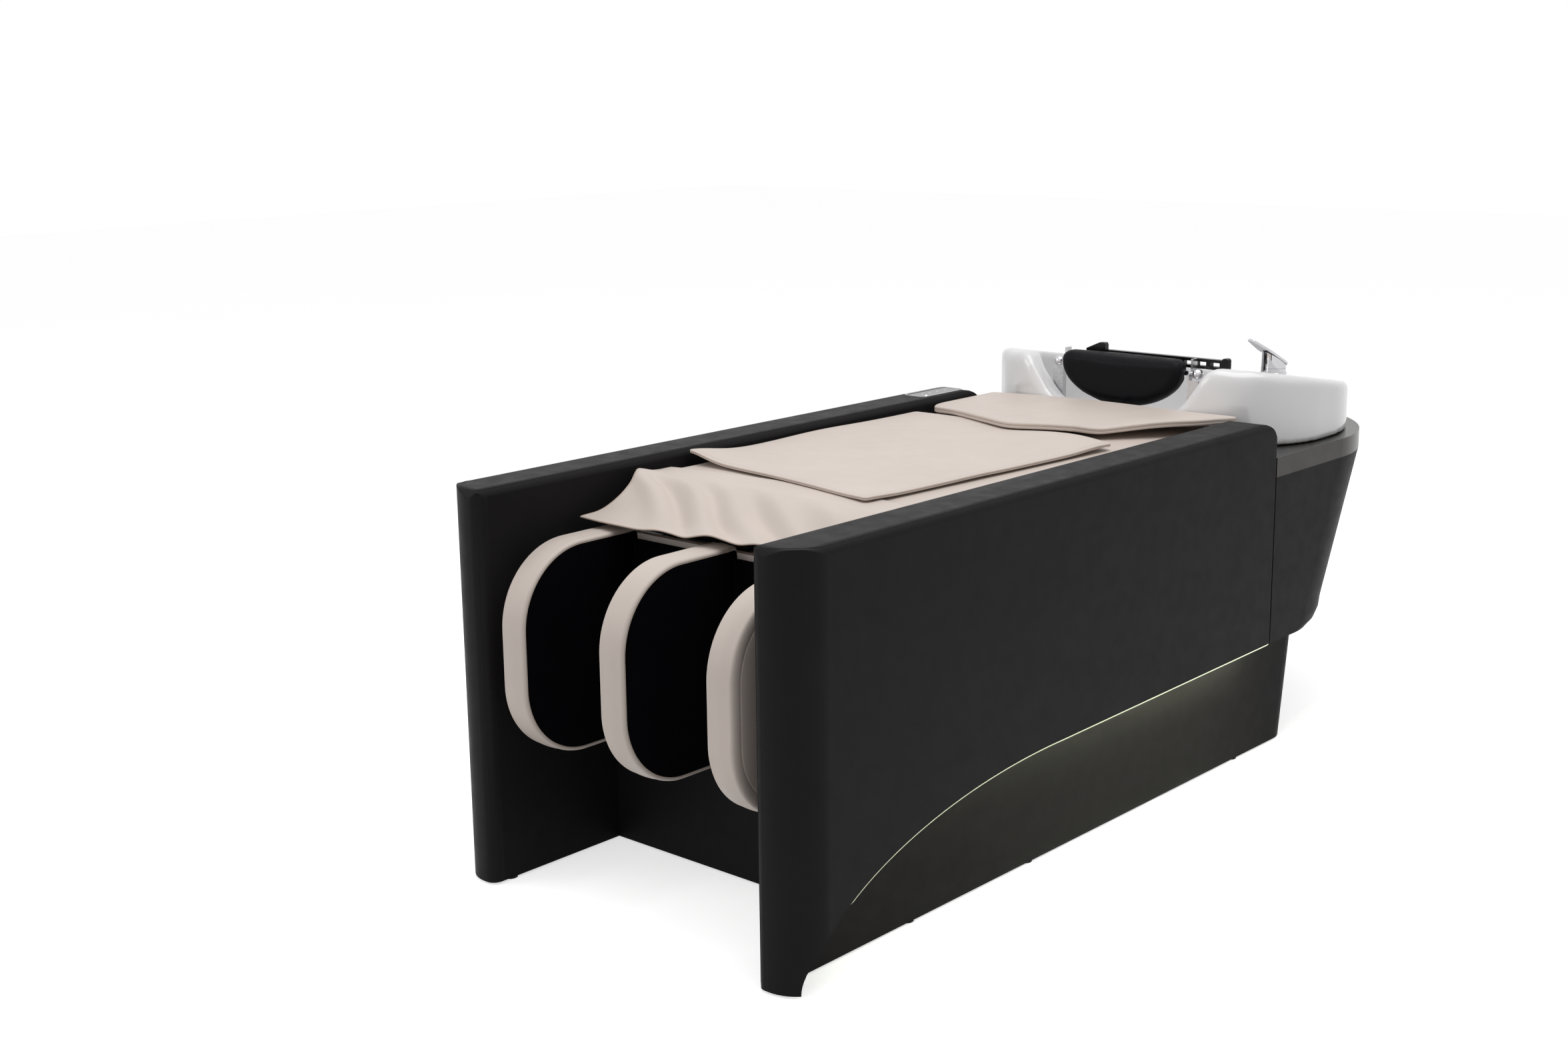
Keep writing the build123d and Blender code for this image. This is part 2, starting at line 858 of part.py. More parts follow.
def tap_cartridge():
    """The turning neck under the lever, cut off along its slope, with the lug of the lever's hinge."""
    low = rim_level(tap_y) + tap_height
    neck = bar((tap_x, tap_y, low + soft_gap), (tap_x, tap_y, low + 2 * cartridge_height),
               tap_radius - soft_gap)
    reach = mirrored(2 * tap_radius)
    neck = neck - lever_frame() * block(reach, reach, (-lever_gap, 2 * tap_radius))
    lug = block(mirrored(hinge_lug_half), (-hinge_back - hinge_lug_radius, -hinge_lug_front),
                (-hinge_lug_drop, hinge_rise))
    lug = lug + lever_hinge(hinge_lug_half, hinge_lug_radius)
    return neck + lever_frame() * (lug - lever_hinge(overrun, hinge_pin_radius + running_gap))


def tap_lever():
    """The flat lever over the cartridge, narrower towards its raised tip."""
    half, tip_half = lever_width / 2, lever_tip_width / 2
    face = outline(
        [(-half, -lever_back), (half, -lever_back), (half, lever_back),
         (tip_half, lever_length), (-tip_half, lever_length), (-half, lever_back)],
        [half - lever_round, half - lever_round, lever_back, tip_half - lever_round,
         tip_half - lever_round, lever_back],
    )
    blade = fillet(extrude(face, lever_thick).edges().group_by(Axis.Z)[-1], lever_round)
    slot = block(mirrored(hinge_lug_half + hinge_clearance),
                 (-hinge_back - hinge_swing, -hinge_lug_front + hinge_clearance),
                 (-hinge_rise, hinge_rise + hinge_lug_radius + hinge_clearance))
    return lever_frame() * (blade - slot + lever_hinge(hinge_pin_half, hinge_pin_radius))


def neck_pad():
    """The padded half-moon that the neck rests on, turning on its axle."""
    arc = EllipticalCenterArc((0, neck_top - neck_corner), neck_half, neck_drop - neck_corner,
                              180, arc_size=180)
    edge = Polyline((neck_half, neck_top - neck_corner), (neck_half, neck_top),
                    (-neck_half, neck_top), (-neck_half, neck_top - neck_corner))
    face = make_face(arc + edge)
    face = fillet(face.vertices().group_by(Axis.Y)[-1], neck_corner)
    rear = neck_y + axle_radius + neck_cover
    pad = along_y(face, (rear - neck_thick, rear))
    pad = fillet(pad.edges().group_by(Axis.Y)[0] + pad.edges().group_by(Axis.Y)[-1], neck_edge_round)
    bore = bar((-outer_half, neck_y, neck_z), (outer_half, neck_y, neck_z), axle_radius + running_gap)
    return pad - bore


def neck_axle():
    """The axle of the neck rest with its two ball ends."""
    axle = bar((-axle_half, neck_y, neck_z), (axle_half, neck_y, neck_z), axle_radius)
    for side in (-1, 1):
        axle = axle + Pos(side * axle_half, neck_y, neck_z) * Sphere(ball_radius)
    return axle


def neck_bracket():
    """A strap up the bowl's front wall that holds one end of the axle."""
    x = (bracket_x, bracket_x + bracket_thick)
    ear_radius = axle_radius + bracket_thick
    ear = bar((x[0], neck_y, neck_z), (x[1], neck_y, neck_z), ear_radius)
    web = block(x, (bowl_front, neck_y), (bracket_foot, neck_z))
    hook = block(x, (neck_y, bar_y), (neck_z, rim_level(bar_y) + bar_height - bar_sink))
    strap = block((bracket_x, bracket_x + bracket_width), (bowl_front, bowl_front + bracket_thick),
                  (bracket_foot, neck_z - ball_radius - ball_gap))
    bore = bar((0, neck_y, neck_z), (outer_half, neck_y, neck_z), axle_radius + running_gap)
    return ear + web + hook + strap - bore


def neck_stop():
    """The short post on the notch sill that the pad comes to rest on."""
    top = neck_top - neck_drop - stop_gap
    y = basin_front + bowl_wall_front * 2 / 3
    return bar((0, y, notch_sill), (0, y, top), stop_radius)


def spray_bar():
    """The perforated rinse bar behind the neck rest, with a raised finger tab."""
    y = (bar_y, bar_y + bar_thick)
    low = rim_level(bar_y) - bar_sink
    body = block((bar_start, bar_end), y, (low, low + bar_height))
    top = low + bar_height
    tab = along_y(make_face(Polyline(
        (bar_start, top), (bar_start + bar_tab_length - bar_tab_tip, top + bar_tab),
        (bar_start + bar_tab_length, top + bar_tab), (bar_start + bar_tab_length, top),
        close=True,
    )), y)
    tip = fillet(tab.edges().filter_by(Axis.Y).group_by(Axis.Z)[-1], bar_round)
    knob = block((bar_end - bar_tab_tip, bar_end), y, (low, top + bar_end_rise))
    knob = fillet(knob.edges().filter_by(Axis.Y).group_by(Axis.Z)[-1], bar_round)
    shape = body + tip + knob
    pitch = (bar_end - bar_tab_tip - bar_start - bar_tab_length) / bar_slot_count
    for place in range(bar_slot_count):
        x = bar_start + bar_tab_length + (place + 0.5) * pitch
        slot = block((x - pitch / 3, x + pitch / 3), (y[0] - overrun, y[1] + overrun),
                     (low + (bar_height - bar_slot) / 2, low + (bar_height + bar_slot) / 2))
        shape = shape - slot
    return shape


def frame_rails():
    """Upper and lower long rails on both sides."""
    x = (rail_face, inner_half)
    y = (frame_front, frame_rear)
    rails = []
    for bottom in (low_rail_bottom, board_bottom - tube_height):
        rails += both_sides(box_tube(x, y, (bottom, bottom + tube_height), 1))
    return rails


def frame_posts():
    """Upright tubes between the lower and upper rails."""
    posts = []
    for y in (frame_front, frame_mid, frame_rear - tube_width):
        post = box_tube((rail_face, inner_half), (y, y + tube_width),
                        (low_rail_top, board_bottom - tube_height), 2)
        posts += both_sides(post)
    return posts


def frame_crossbars():
    """Tubes across the bed: two under the seat board, one for the lift, two at the floor."""
    upper = board_bottom - tube_height
    places = [
        (frame_front, upper), (frame_rear - tube_width, upper), (frame_mid, mid_bar_bottom),
        (frame_front, low_rail_bottom), (frame_rear - tube_width, low_rail_bottom),
    ]
    return [
        box_tube(mirrored(rail_face), (y, y + tube_width), (z, z + tube_height), 0)
        for y, z in places
    ]


def hinge_brackets():
    """Plates on the core boards that carry the calf unit's hinge bar."""
    plate = block(
        (inner_half - bracket_plate, inner_half),
        (pivot_y - 2 * hinge_radius, frame_front),
        (pivot_z - bracket_drop, board_bottom),
    )
    bore = bar((0, pivot_y, pivot_z), (outer_half, pivot_y, pivot_z), hinge_radius + running_gap)
    return both_sides(plate - bore)


def hinge_bar():
    """The fixed round bar that the calf unit swings on."""
    return bar((-inner_half, pivot_y, pivot_z), (inner_half, pivot_y, pivot_z), hinge_radius)


def equipment_shelf():
    """The board on the lower rails that carries the pump and the power box."""
    return block(mirrored(inner_half), (shelf_front, shelf_rear),
                 (low_rail_top, low_rail_top + shelf_thick))


def equipment_box(size, x):
    """A rounded box standing on the shelf."""
    middle = (shelf_front + shelf_rear) / 2
    box = Pos(x, middle, low_rail_top + shelf_thick) * Box(
        *size, align=(Align.CENTER, Align.CENTER, Align.MIN)
    )
    return fillet(box.edges().filter_by(Axis.Z), box_round)


def air_pump():
    """The pump that fills the calf air bags, with two hose ports on top."""
    pump = equipment_box(pump_size, -box_offset)
    middle = (shelf_front + shelf_rear) / 2
    top = low_rail_top + shelf_thick + pump_size[2]
    for side in (-1, 1):
        y = middle + side * pump_size[1] / 4
        pump = pump + bar((-box_offset, y, top), (-box_offset, y, top + pump_port_length),
                          pump_port_radius)
    return pump


def seat_board():
    """The plywood board on the frame, with the long slot under the roller channel."""
    board = block(mirrored(inner_half - board_side_gap), (board_front, panel_length),
                  (board_bottom, deck_top))
    slot = block(mirrored(channel_half), (channel_front, channel_rear),
                 (board_bottom - overrun, deck_top + overrun))
    return board - slot


def crown_arc(lift):
    """The arched line of the cushion's top across the bed, raised by a lift."""
    edge = cushion_top - cushion_crown + lift
    return ThreePointArc((-cushion_half, edge), (0, cushion_top + lift), (cushion_half, edge))


def crown_level(x):
    """The height of the cushion's top at a place across the bed."""
    return cushion_top - cushion_crown * (x / cushion_half) ** 2


def laid_sheet(face, low, high):
    """A flat outline laid over the cushion's arched top, between two lifts above it."""
    sides = [Line(crown_arc(low) @ end, crown_arc(high) @ end) for end in (0, 1)]
    arch = make_face(crown_arc(low) + sides[1] + crown_arc(high) + sides[0])
    return along_z(face, (deck_top, rim_front)) & along_y(arch, (0, cushion_rear))


def bed_cushion():
    """The foam cushion: arched across, sides drawn in, front rolled over, channel for the rollers."""
    edge = cushion_top - cushion_crown
    tuck = cushion_crown / 2
    middle = (deck_top + edge) / 2
    low, high = -cushion_half, cushion_half
    base = Line((low + tuck, deck_top), (high - tuck, deck_top))
    right = ThreePointArc((high - tuck, deck_top), (high, middle), (high - tuck, edge))
    top = ThreePointArc((high - tuck, edge), (0, cushion_top), (low + tuck, edge))
    left = ThreePointArc((low + tuck, edge), (low, middle), (low + tuck, deck_top))
    across = along_y(make_face(base + right + top + left), (cushion_front, cushion_rear))
    side = outline(
        corners((cushion_front, cushion_rear), (deck_top, cushion_top)),
        [cushion_rear_round, cushion_rear_round, cushion_rear_round, cushion_front_round],
    )
    plan = outline(
        corners(mirrored(cushion_half), (cushion_front, cushion_rear)), [cushion_corner] * 4
    )
    pad = across & along_x(side, mirrored(cushion_half)) & along_z(plan, (deck_top, cushion_top))
    channel = block(mirrored(channel_half), (channel_front, channel_rear),
                    (deck_top - overrun, cushion_top + overrun))
    return pad - channel


def apron_fold(x, down_share):
    """How far the apron's folds stand up: ridges that run from the far side's seat edge to the near side."""
    ridge_shares = [(-0.92, 0.3, 0.8), (-0.62, 0.62, 1), (-0.28, 0.8, 0.7), (0.12, 0.7, 1),
                    (0.55, 0.5, 0.6)]
    rise = 0
    for start_share, drift_share, height_share in ridge_shares:
        middle = (start_share + drift_share * down_share / 2) * apron_half
        rise += height_share * apron_fold_rise / (1 + ((x - middle) / apron_fold_width) ** 4)
    return rise * min(1, 4 * down_share) * (1 - down_share / 2)


def apron_section(y):
    """The apron's cross-section at one place along the bed."""
    down_share = max(0, (apron_lip - y) / (apron_lip - apron_edge_y))
    fall = (cushion_top - apron_edge_z) * down_share ** 1.15
    width_shares = [place / 12 for place in range(-12, 13)]
    low, high = [], []
    for width_share in width_shares:
        x = width_share * apron_half
        flatten = cushion_crown * (x / cushion_half) ** 2 * min(1, 2 * down_share)
        z = crown_level(x) + soft_gap - fall + flatten + apron_fold(x, down_share)
        low.append((x, z))
        high.append((x, z + apron_thick))
    sides = Line(low[-1], high[-1]) + Line(high[0], low[0])
    return Pos(0, y, 0) * (Plane.XZ * make_face(Spline(*low) + Spline(*reversed(high)) + sides))


def leg_apron():
    """The soft apron with its main folds, hanging from the seat's front edge over the calf unit."""
    down_shares = [0, 0.07, 0.15, 0.25, 0.38, 0.52, 0.68, 0.84, 1]
    places = [apron_rear] + [
        apron_lip + (apron_edge_y - apron_lip) * down_share for down_share in down_shares
    ]
    cloth = loft([apron_section(y) for y in places], ruled=True)
    far = Spline((-apron_half, apron_lip), (-apron_waist, (apron_lip + apron_edge_y) / 2),
                 (-apron_corner_x, apron_edge_y))
    hem = Spline((-apron_corner_x, apron_edge_y), (0, (apron_edge_y + apron_near_y) / 2),
                 (apron_half, apron_near_y))
    edge = Polyline((apron_half, apron_near_y), (apron_half, apron_rear),
                    (-apron_half, apron_rear), (-apron_half, apron_lip))
    return cloth & along_z(make_face(far + hem + edge), (deck_top - 2 * overrun, rim_front))


def top_mat():
    """The thin stitched mat that lies askew over the cushion."""
    points = [
        (mat_far_x, mat_front_far), (mat_near_front_x, mat_front_near),
        (mat_near_rear_x, mat_rear), (mat_far_x, mat_rear),
    ]
    return laid_sheet(outline(points, [mat_corner] * 4), mat_lift, mat_lift + mat_thick)


def pillow_flap():
    """The pillow flap with its rounded front, reaching back to the basin."""
    arc = EllipticalCenterArc((0, flap_sides_front), flap_half, flap_front_reach, 180, arc_size=180)
    edge = Polyline((flap_half, flap_sides_front), (flap_half, cushion_rear),
                    (-flap_half, cushion_rear), (-flap_half, flap_sides_front))
    flap = laid_sheet(make_face(arc + edge), flap_lift, flap_lift + flap_thick)
    top = flap.faces().sort_by(Axis.Z)[-1]
    return fillet(top.edges(), flap_edge_round)


def fin_face(inset):
    """The side outline of a calf fin, drawn in by an inset."""
    return outline(
        corners((fin_front + inset, fin_back), (fin_bottom + inset, fin_top - inset)),
        [fin_bottom_round - inset, fin_back_round, fin_back_round, fin_top_round - inset],
    )


def lining_pad(face_x, side):
    """The black pad let into one side of a fin."""
    x = sorted((face_x, face_x - side * lining_thick))
    return along_x(fin_face(lining_inset), x)


def fin(place):
    """One upright calf fin with a recess for the lining on each side that faces a channel."""
    x = place * fin_pitch
    body = along_x(fin_face(0), (x - fin_width / 2, x + fin_width / 2))
    rims = body.edges().group_by(Axis.X)
    front = [edge for edge in rims[0] + rims[-1] if edge.center().Y < fin_back - fin_back_round]
    body = fillet(front, fin_edge_round)
    for side in (-1, 1):
        if place * side < 1:
            body = body - lining_pad(x + side * fin_width / 2, side)
    return body


def calf_lining(side):
    """The black lining of one channel: two side pads and a back pad."""
    inner = side * fin_width / 2
    outer = side * (fin_pitch - fin_width / 2)
    x = sorted((inner, outer))
    margin = back_board_margin
    back = block(x, (fin_back - back_pad_thick, fin_back), (fin_bottom + margin, fin_top - margin))
    return [lining_pad(inner, side), lining_pad(outer, -side), back]


def back_board():
    """The board behind the fins that holds them together."""
    half = fin_pitch + fin_width / 2
    margin = back_board_margin
    return block(mirrored(half), (fin_back, back_face), (fin_bottom + margin, fin_top - margin))


def arm_face(drop):
    """The side outline of a hinge arm, from the back board to the sleeve."""
    top = fin_top - back_board_margin
    web = make_face(Polyline(
        (back_face, top), (pivot_y, pivot_z + sleeve_radius), (pivot_y + sleeve_radius, pivot_z),
        (back_face, pivot_z - drop), close=True,
    ))
    return web + Pos(pivot_y, pivot_z) * Circle(sleeve_radius)


def with_sleeve(arm, x):
    """An arm joined to its sleeve and bored for the hinge bar."""
    half = sleeve_length / 2
    sleeve = bar((x - half, pivot_y, pivot_z), (x + half, pivot_y, pivot_z), sleeve_radius)
    bore = bar((x - sleeve_length, pivot_y, pivot_z), (x + sleeve_length, pivot_y, pivot_z),
               hinge_radius + running_gap)
    return arm + sleeve - bore


def legrest_arms():
    """The two outer hinge arms of the calf unit."""
    x = (arm_x - arm_thick / 2, arm_x + arm_thick / 2)
    arm = with_sleeve(along_x(arm_face(arm_drop), x), arm_x)
    return both_sides(arm)


def lift_arm():
    """The middle hinge arm, whose slotted lug the actuator pushes."""
    x = mirrored(lug_thick / 2)
    tip = pivot_z - lug_reach
    lug = outline(
        corners((pivot_y - lug_half, pivot_y + lug_half), (tip - lug_half, pivot_z)),
        [lug_round, lug_round, 0, 0],
    )
    slot_middle = tip + lug_slot / 2
    slot = Pos(pivot_y, slot_middle) * Rot(0, 0, 90) * SlotCenterToCenter(lug_slot, 2 * slot_half)
    return with_sleeve(along_x(arm_face(arm_drop) + lug - slot, x), 0)


def lift_plane():
    """The actuator's own frame: its origin at the rear pin, Z towards the rod's fork."""
    run = (0, pivot_y - lift_y, pivot_z - lug_reach - lift_z)
    return Plane(origin=(0, lift_y, lift_z), x_dir=(1, 0, 0), z_dir=run)


def lift_body():
    """The actuator's tube, rear eye, gear block and motor."""
    frame = lift_plane()
    tube = bar((0, 0, lift_tube_start), (0, 0, lift_tube_end), lift_tube_radius)
    bore = bar((0, 0, lift_bore_start), (0, 0, lift_tube_end + overrun),
               lift_rod_radius + running_gap)
    eye = bar((-lift_eye_half, 0, 0), (lift_eye_half, 0, 0), lift_eye_half)
    neck = block(mirrored(lift_eye_half), mirrored(lift_eye_half), (0, lift_tube_start))
    pin_hole = bar((-overrun, 0, 0), (overrun, 0, 0), lift_pin_radius + running_gap)
    gear_start = lift_tube_start + lift_eye_half
    gear = block(mirrored(lift_tube_radius), (-lift_tube_radius, lift_motor_drop + lift_tube_radius),
                 (gear_start, gear_start + lift_gear_length))
    gear = fillet(gear.edges().filter_by(Axis.Z), lift_eye_half)
    motor_start = gear_start + lift_gear_length
    motor = bar((0, lift_motor_drop, motor_start), (0, lift_motor_drop, motor_start + lift_motor_length),
                lift_motor_radius)
    return frame * (tube + eye + neck + gear + motor - bore - pin_hole)


def lift_rod():
    """The actuator's rod with the fork and pin that work in the lug's slot."""
    frame = lift_plane()
    inner = lug_thick / 2 + fork_gap
    outer = inner + fork_thick
    shaft = bar((0, 0, lift_rod_start), (0, 0, lift_reach - fork_length), lift_rod_radius)
    base = block(mirrored(outer), mirrored(fork_half),
                 (lift_reach - fork_length - fork_thick, lift_reach - fork_length))
    fork = shaft + base
    for side in (-1, 1):
        x = sorted((side * inner, side * outer))
        cheek = block(x, mirrored(fork_half), (lift_reach - fork_length, lift_reach))
        tip = bar((x[0], 0, lift_reach), (x[1], 0, lift_reach), fork_half)
        fork = fork + cheek + tip
    pin = bar((-outer - fork_gap, 0, lift_reach), (outer + fork_gap, 0, lift_reach), lift_pin_radius)
    return frame * (fork + pin)


def lift_clevis():
    """The bracket on the crossbar that holds the actuator's rear pin."""
    inner = lift_eye_half + clevis_gap
    outer = inner + clevis_thick
    face = frame_mid
    middle = mid_bar_bottom + tube_height / 2
    base = block(mirrored(outer), (face - clevis_thick, face),
                 (middle - clevis_half, middle + clevis_half))
    clevis = base
    for side in (-1, 1):
        x = sorted((side * inner, side * outer))
        ear = block(x, (lift_y, face - clevis_thick), (lift_z - lift_eye_half, lift_z + lift_eye_half))
        round_end = bar((x[0], lift_y, lift_z), (x[1], lift_y, lift_z), lift_eye_half)
        clevis = clevis + ear + round_end
    pin = bar((-outer - fork_gap, lift_y, lift_z), (outer + fork_gap, lift_y, lift_z), lift_pin_radius)
    return clevis + pin


def massage_rails():
    """Two channel rails under the seat board, open towards each other."""
    rail = block((massage_rail_x, massage_rail_x + massage_rail_width), (massage_front, massage_rear),
                 (massage_rail_low, board_bottom))
    groove = block(
        (massage_rail_x - overrun, massage_rail_x + massage_rail_width - massage_rail_wall),
        (massage_front - overrun, massage_rear + overrun),
        (massage_rail_low + massage_rail_wall, board_bottom - massage_rail_wall),
    )
    return both_sides(rail - groove)


def roller_places():
    """Where the two roller axles lie along the bed when the carriage is at its foot end."""
    return [carriage_front + roller_offset, carriage_rear - roller_offset]


def massage_carriage():
    """The plate that runs in the rails, with ears for the roller axles and the screw's nut block."""
    half = massage_rail_x + massage_rail_width - massage_rail_wall - massage_slide_gap
    body = block(mirrored(half), (carriage_front, carriage_rear), (carriage_low, carriage_top))
    for y in roller_places():
        for side in (-1, 1):
            outer = side * (roller_x - roller_width / 2 - ear_gap)
            x = sorted((outer, outer - side * ear_thick))
            ear = block(x, (y - ear_half, y + ear_half), (carriage_top, roller_z))
            body = body + ear + bar((x[0], y, roller_z), (x[1], y, roller_z), ear_half)
        body = body - bar((-overrun * 2, y, roller_z), (overrun * 2, y, roller_z),
                          roller_axle_radius + running_gap)
    middle = (carriage_front + carriage_rear) / 2
    nut = block(mirrored(screw_block_half), (middle - nut_length / 2, middle + nut_length / 2),
                (screw_z - screw_drop, carriage_low))
    bore = bar((0, carriage_front, screw_z), (0, carriage_rear, screw_z), screw_radius + running_gap)
    return body + nut - bore


def roller_set(y):
    """One axle with its two rounded rollers."""
    end = roller_x + roller_width / 2
    axle = bar((-end - roller_axle_end, y, roller_z), (end + roller_axle_end, y, roller_z),
               roller_axle_radius)
    for side in (-1, 1):
        x = sorted((side * (roller_x - roller_width / 2), side * end))
        roller = bar((x[0], y, roller_z), (x[1], y, roller_z), roller_radius)
        axle = axle + fillet(roller.edges().filter_by(GeomType.CIRCLE), roller_round)
    return axle


def massage_screw():
    """The fixed screw under the carriage, with a holding block at each end under the seat board."""
    screw = bar((0, massage_front, screw_z), (0, massage_rear, screw_z), screw_radius)
    for y in (massage_front, massage_rear - screw_block_length):
        screw = screw + block(mirrored(screw_block_half), (y, y + screw_block_length),
                              (screw_z - screw_drop, board_bottom))
    return screw


def massage_motor():
    """The motor under the carriage that turns the screw's nut."""
    z = carriage_low - massage_motor_drop
    start = carriage_front + massage_motor_saddle
    motor = bar((massage_motor_x, start, z), (massage_motor_x, start + massage_motor_length, z),
                massage_motor_radius)
    saddle = block((massage_motor_x - massage_motor_saddle, massage_motor_x + massage_motor_saddle),
                   (start, start + massage_motor_length), (z, carriage_low))
    return motor + saddle


def build():
    """Every piece of the bed by its node name."""
    shell = side_shell()
    nodes = {
        "side_shell_right": shell,
        "side_shell_left": other_side(shell) - control_pocket(),
        "core_board_right": core_board(),
        "core_board_left": other_side(core_board()),
        "light_strip_right": light_strip(),
        "light_strip_left": other_side(light_strip()),
        "cross_panel": cross_panel(),
        "plinth_end": plinth_end(),
        "floor_glides": floor_glides(),
        "basin_housing": housing(),
        "deck": deck(),
        "basin": basin(),
        "drain_flange": drain_flange(),
        "hair_strainer": strainer(),
        "waste_trap": waste_trap(),
        "supply_tails": supply_tails(),
        "tap_body": tap_body(),
        "tap_cartridge": tap_cartridge(),
        "tap_lever": tap_lever(),
        "neck_pad": neck_pad(),
        "neck_axle": neck_axle(),
        "neck_bracket_right": neck_bracket(),
        "neck_bracket_left": other_side(neck_bracket()),
        "neck_stop": neck_stop(),
        "spray_bar": spray_bar(),
        "control_bezel": control_bezel(),
        "control_glass": control_glass(),
        "frame_rails": frame_rails(),
        "frame_posts": frame_posts(),
        "frame_crossbars": frame_crossbars(),
        "hinge_brackets": hinge_brackets(),
        "hinge_bar": hinge_bar(),
        "equipment_shelf": equipment_shelf(),
        "air_pump": air_pump(),
        "power_box": equipment_box(power_size, box_offset),
        "seat_board": seat_board(),
        "bed_cushion": bed_cushion(),
        "leg_apron": leg_apron(),
        "top_mat": top_mat(),
        "pillow_flap": pillow_flap(),
        "calf_back_board": back_board(),
        "calf_lining_left": calf_lining(-1),
        "calf_lining_right": calf_lining(1),
        "legrest_arms": legrest_arms(),
        "lift_arm": lift_arm(),
        "lift_body": lift_body(),
        "lift_rod": lift_rod(),
        "lift_clevis": lift_clevis(),
        "massage_rails": massage_rails(),
        "massage_carriage": massage_carriage(),
        "massage_screw": massage_screw(),
        "massage_motor": massage_motor(),
    }
    for y, name in zip(roller_places(), ("front", "rear")):
        nodes["massage_rollers_" + name] = roller_set(y)
    for place, name in ((-1, "left"), (0, "middle"), (1, "right")):
        nodes["calf_fin_" + name] = fin(place)
    return nodes


def write(nodes):
    """Write one file for each node, with the origin at the middle of the footprint."""
    os.makedirs("parts", exist_ok=True)
    for name, shape in nodes.items():
        solids = [solid for piece in (shape if isinstance(shape, list) else [shape])
                  for solid in piece.solids()]
        placed = [Pos(0, -overall_length / 2, 0) * solid for solid in solids]
        whole = placed[0] if len(placed) == 1 else Compound(children=placed)
        export_step(whole, "parts/" + name + ".step")


write(build())
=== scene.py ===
"""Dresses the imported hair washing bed: leather, padding, ceramic and chrome, and the studio round it."""
import json
import logging
import math
from dataclasses import dataclass
from enum import Enum
from typing import Any, Callable, Sequence

import bmesh
import bpy
import numpy as np
from mathutils import Matrix, Vector
from mathutils.bvhtree import BVHTree

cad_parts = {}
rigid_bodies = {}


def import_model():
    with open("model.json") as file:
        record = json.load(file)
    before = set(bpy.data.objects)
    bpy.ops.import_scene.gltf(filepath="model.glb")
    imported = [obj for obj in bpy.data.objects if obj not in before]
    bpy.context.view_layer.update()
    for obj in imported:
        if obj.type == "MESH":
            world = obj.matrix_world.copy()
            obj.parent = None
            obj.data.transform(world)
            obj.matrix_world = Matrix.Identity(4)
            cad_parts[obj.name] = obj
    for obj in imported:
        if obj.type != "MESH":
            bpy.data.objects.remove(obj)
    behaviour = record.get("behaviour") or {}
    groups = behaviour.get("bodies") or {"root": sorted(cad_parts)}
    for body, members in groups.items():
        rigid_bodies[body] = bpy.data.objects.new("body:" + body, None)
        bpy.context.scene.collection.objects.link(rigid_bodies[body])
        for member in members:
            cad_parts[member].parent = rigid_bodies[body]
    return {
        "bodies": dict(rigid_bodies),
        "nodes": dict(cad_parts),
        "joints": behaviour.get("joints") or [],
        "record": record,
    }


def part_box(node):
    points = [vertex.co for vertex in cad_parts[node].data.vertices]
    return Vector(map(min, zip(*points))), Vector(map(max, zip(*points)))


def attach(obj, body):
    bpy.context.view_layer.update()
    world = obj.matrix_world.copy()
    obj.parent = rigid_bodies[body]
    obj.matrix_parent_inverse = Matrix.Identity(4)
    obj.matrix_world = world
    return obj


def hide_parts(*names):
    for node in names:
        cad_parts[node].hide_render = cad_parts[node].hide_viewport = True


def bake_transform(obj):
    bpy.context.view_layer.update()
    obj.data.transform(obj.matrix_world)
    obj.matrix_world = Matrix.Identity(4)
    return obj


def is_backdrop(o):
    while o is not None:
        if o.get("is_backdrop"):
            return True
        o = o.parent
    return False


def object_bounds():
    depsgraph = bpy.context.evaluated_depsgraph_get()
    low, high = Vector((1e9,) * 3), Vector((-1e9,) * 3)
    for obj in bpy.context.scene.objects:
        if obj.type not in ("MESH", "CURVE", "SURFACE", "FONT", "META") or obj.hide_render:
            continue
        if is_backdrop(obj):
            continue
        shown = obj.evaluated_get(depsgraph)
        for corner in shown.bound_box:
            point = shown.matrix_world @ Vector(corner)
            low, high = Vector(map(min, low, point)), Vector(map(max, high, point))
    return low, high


LOG = logging.getLogger("washing_bed")
MM = 0.001
NOISE_LOW, NOISE_HIGH = 0.3, 0.7
Point = tuple[float, float, float]
Colour = tuple[float, float, float]
Limits = tuple[Vector, Vector]


class Body(Enum):
    """The moving bodies of the bed that the scene's pieces ride on."""

    BASE = "bed_base"
    LEGREST = "legrest"
    NECK = "neck_rest"


def shaded(colour: Colour, share: float) -> tuple[float, float, float, float]:
    """A colour made lighter or darker by a share, as a shader value."""
    return (colour[0] * share, colour[1] * share, colour[2] * share, 1.0)


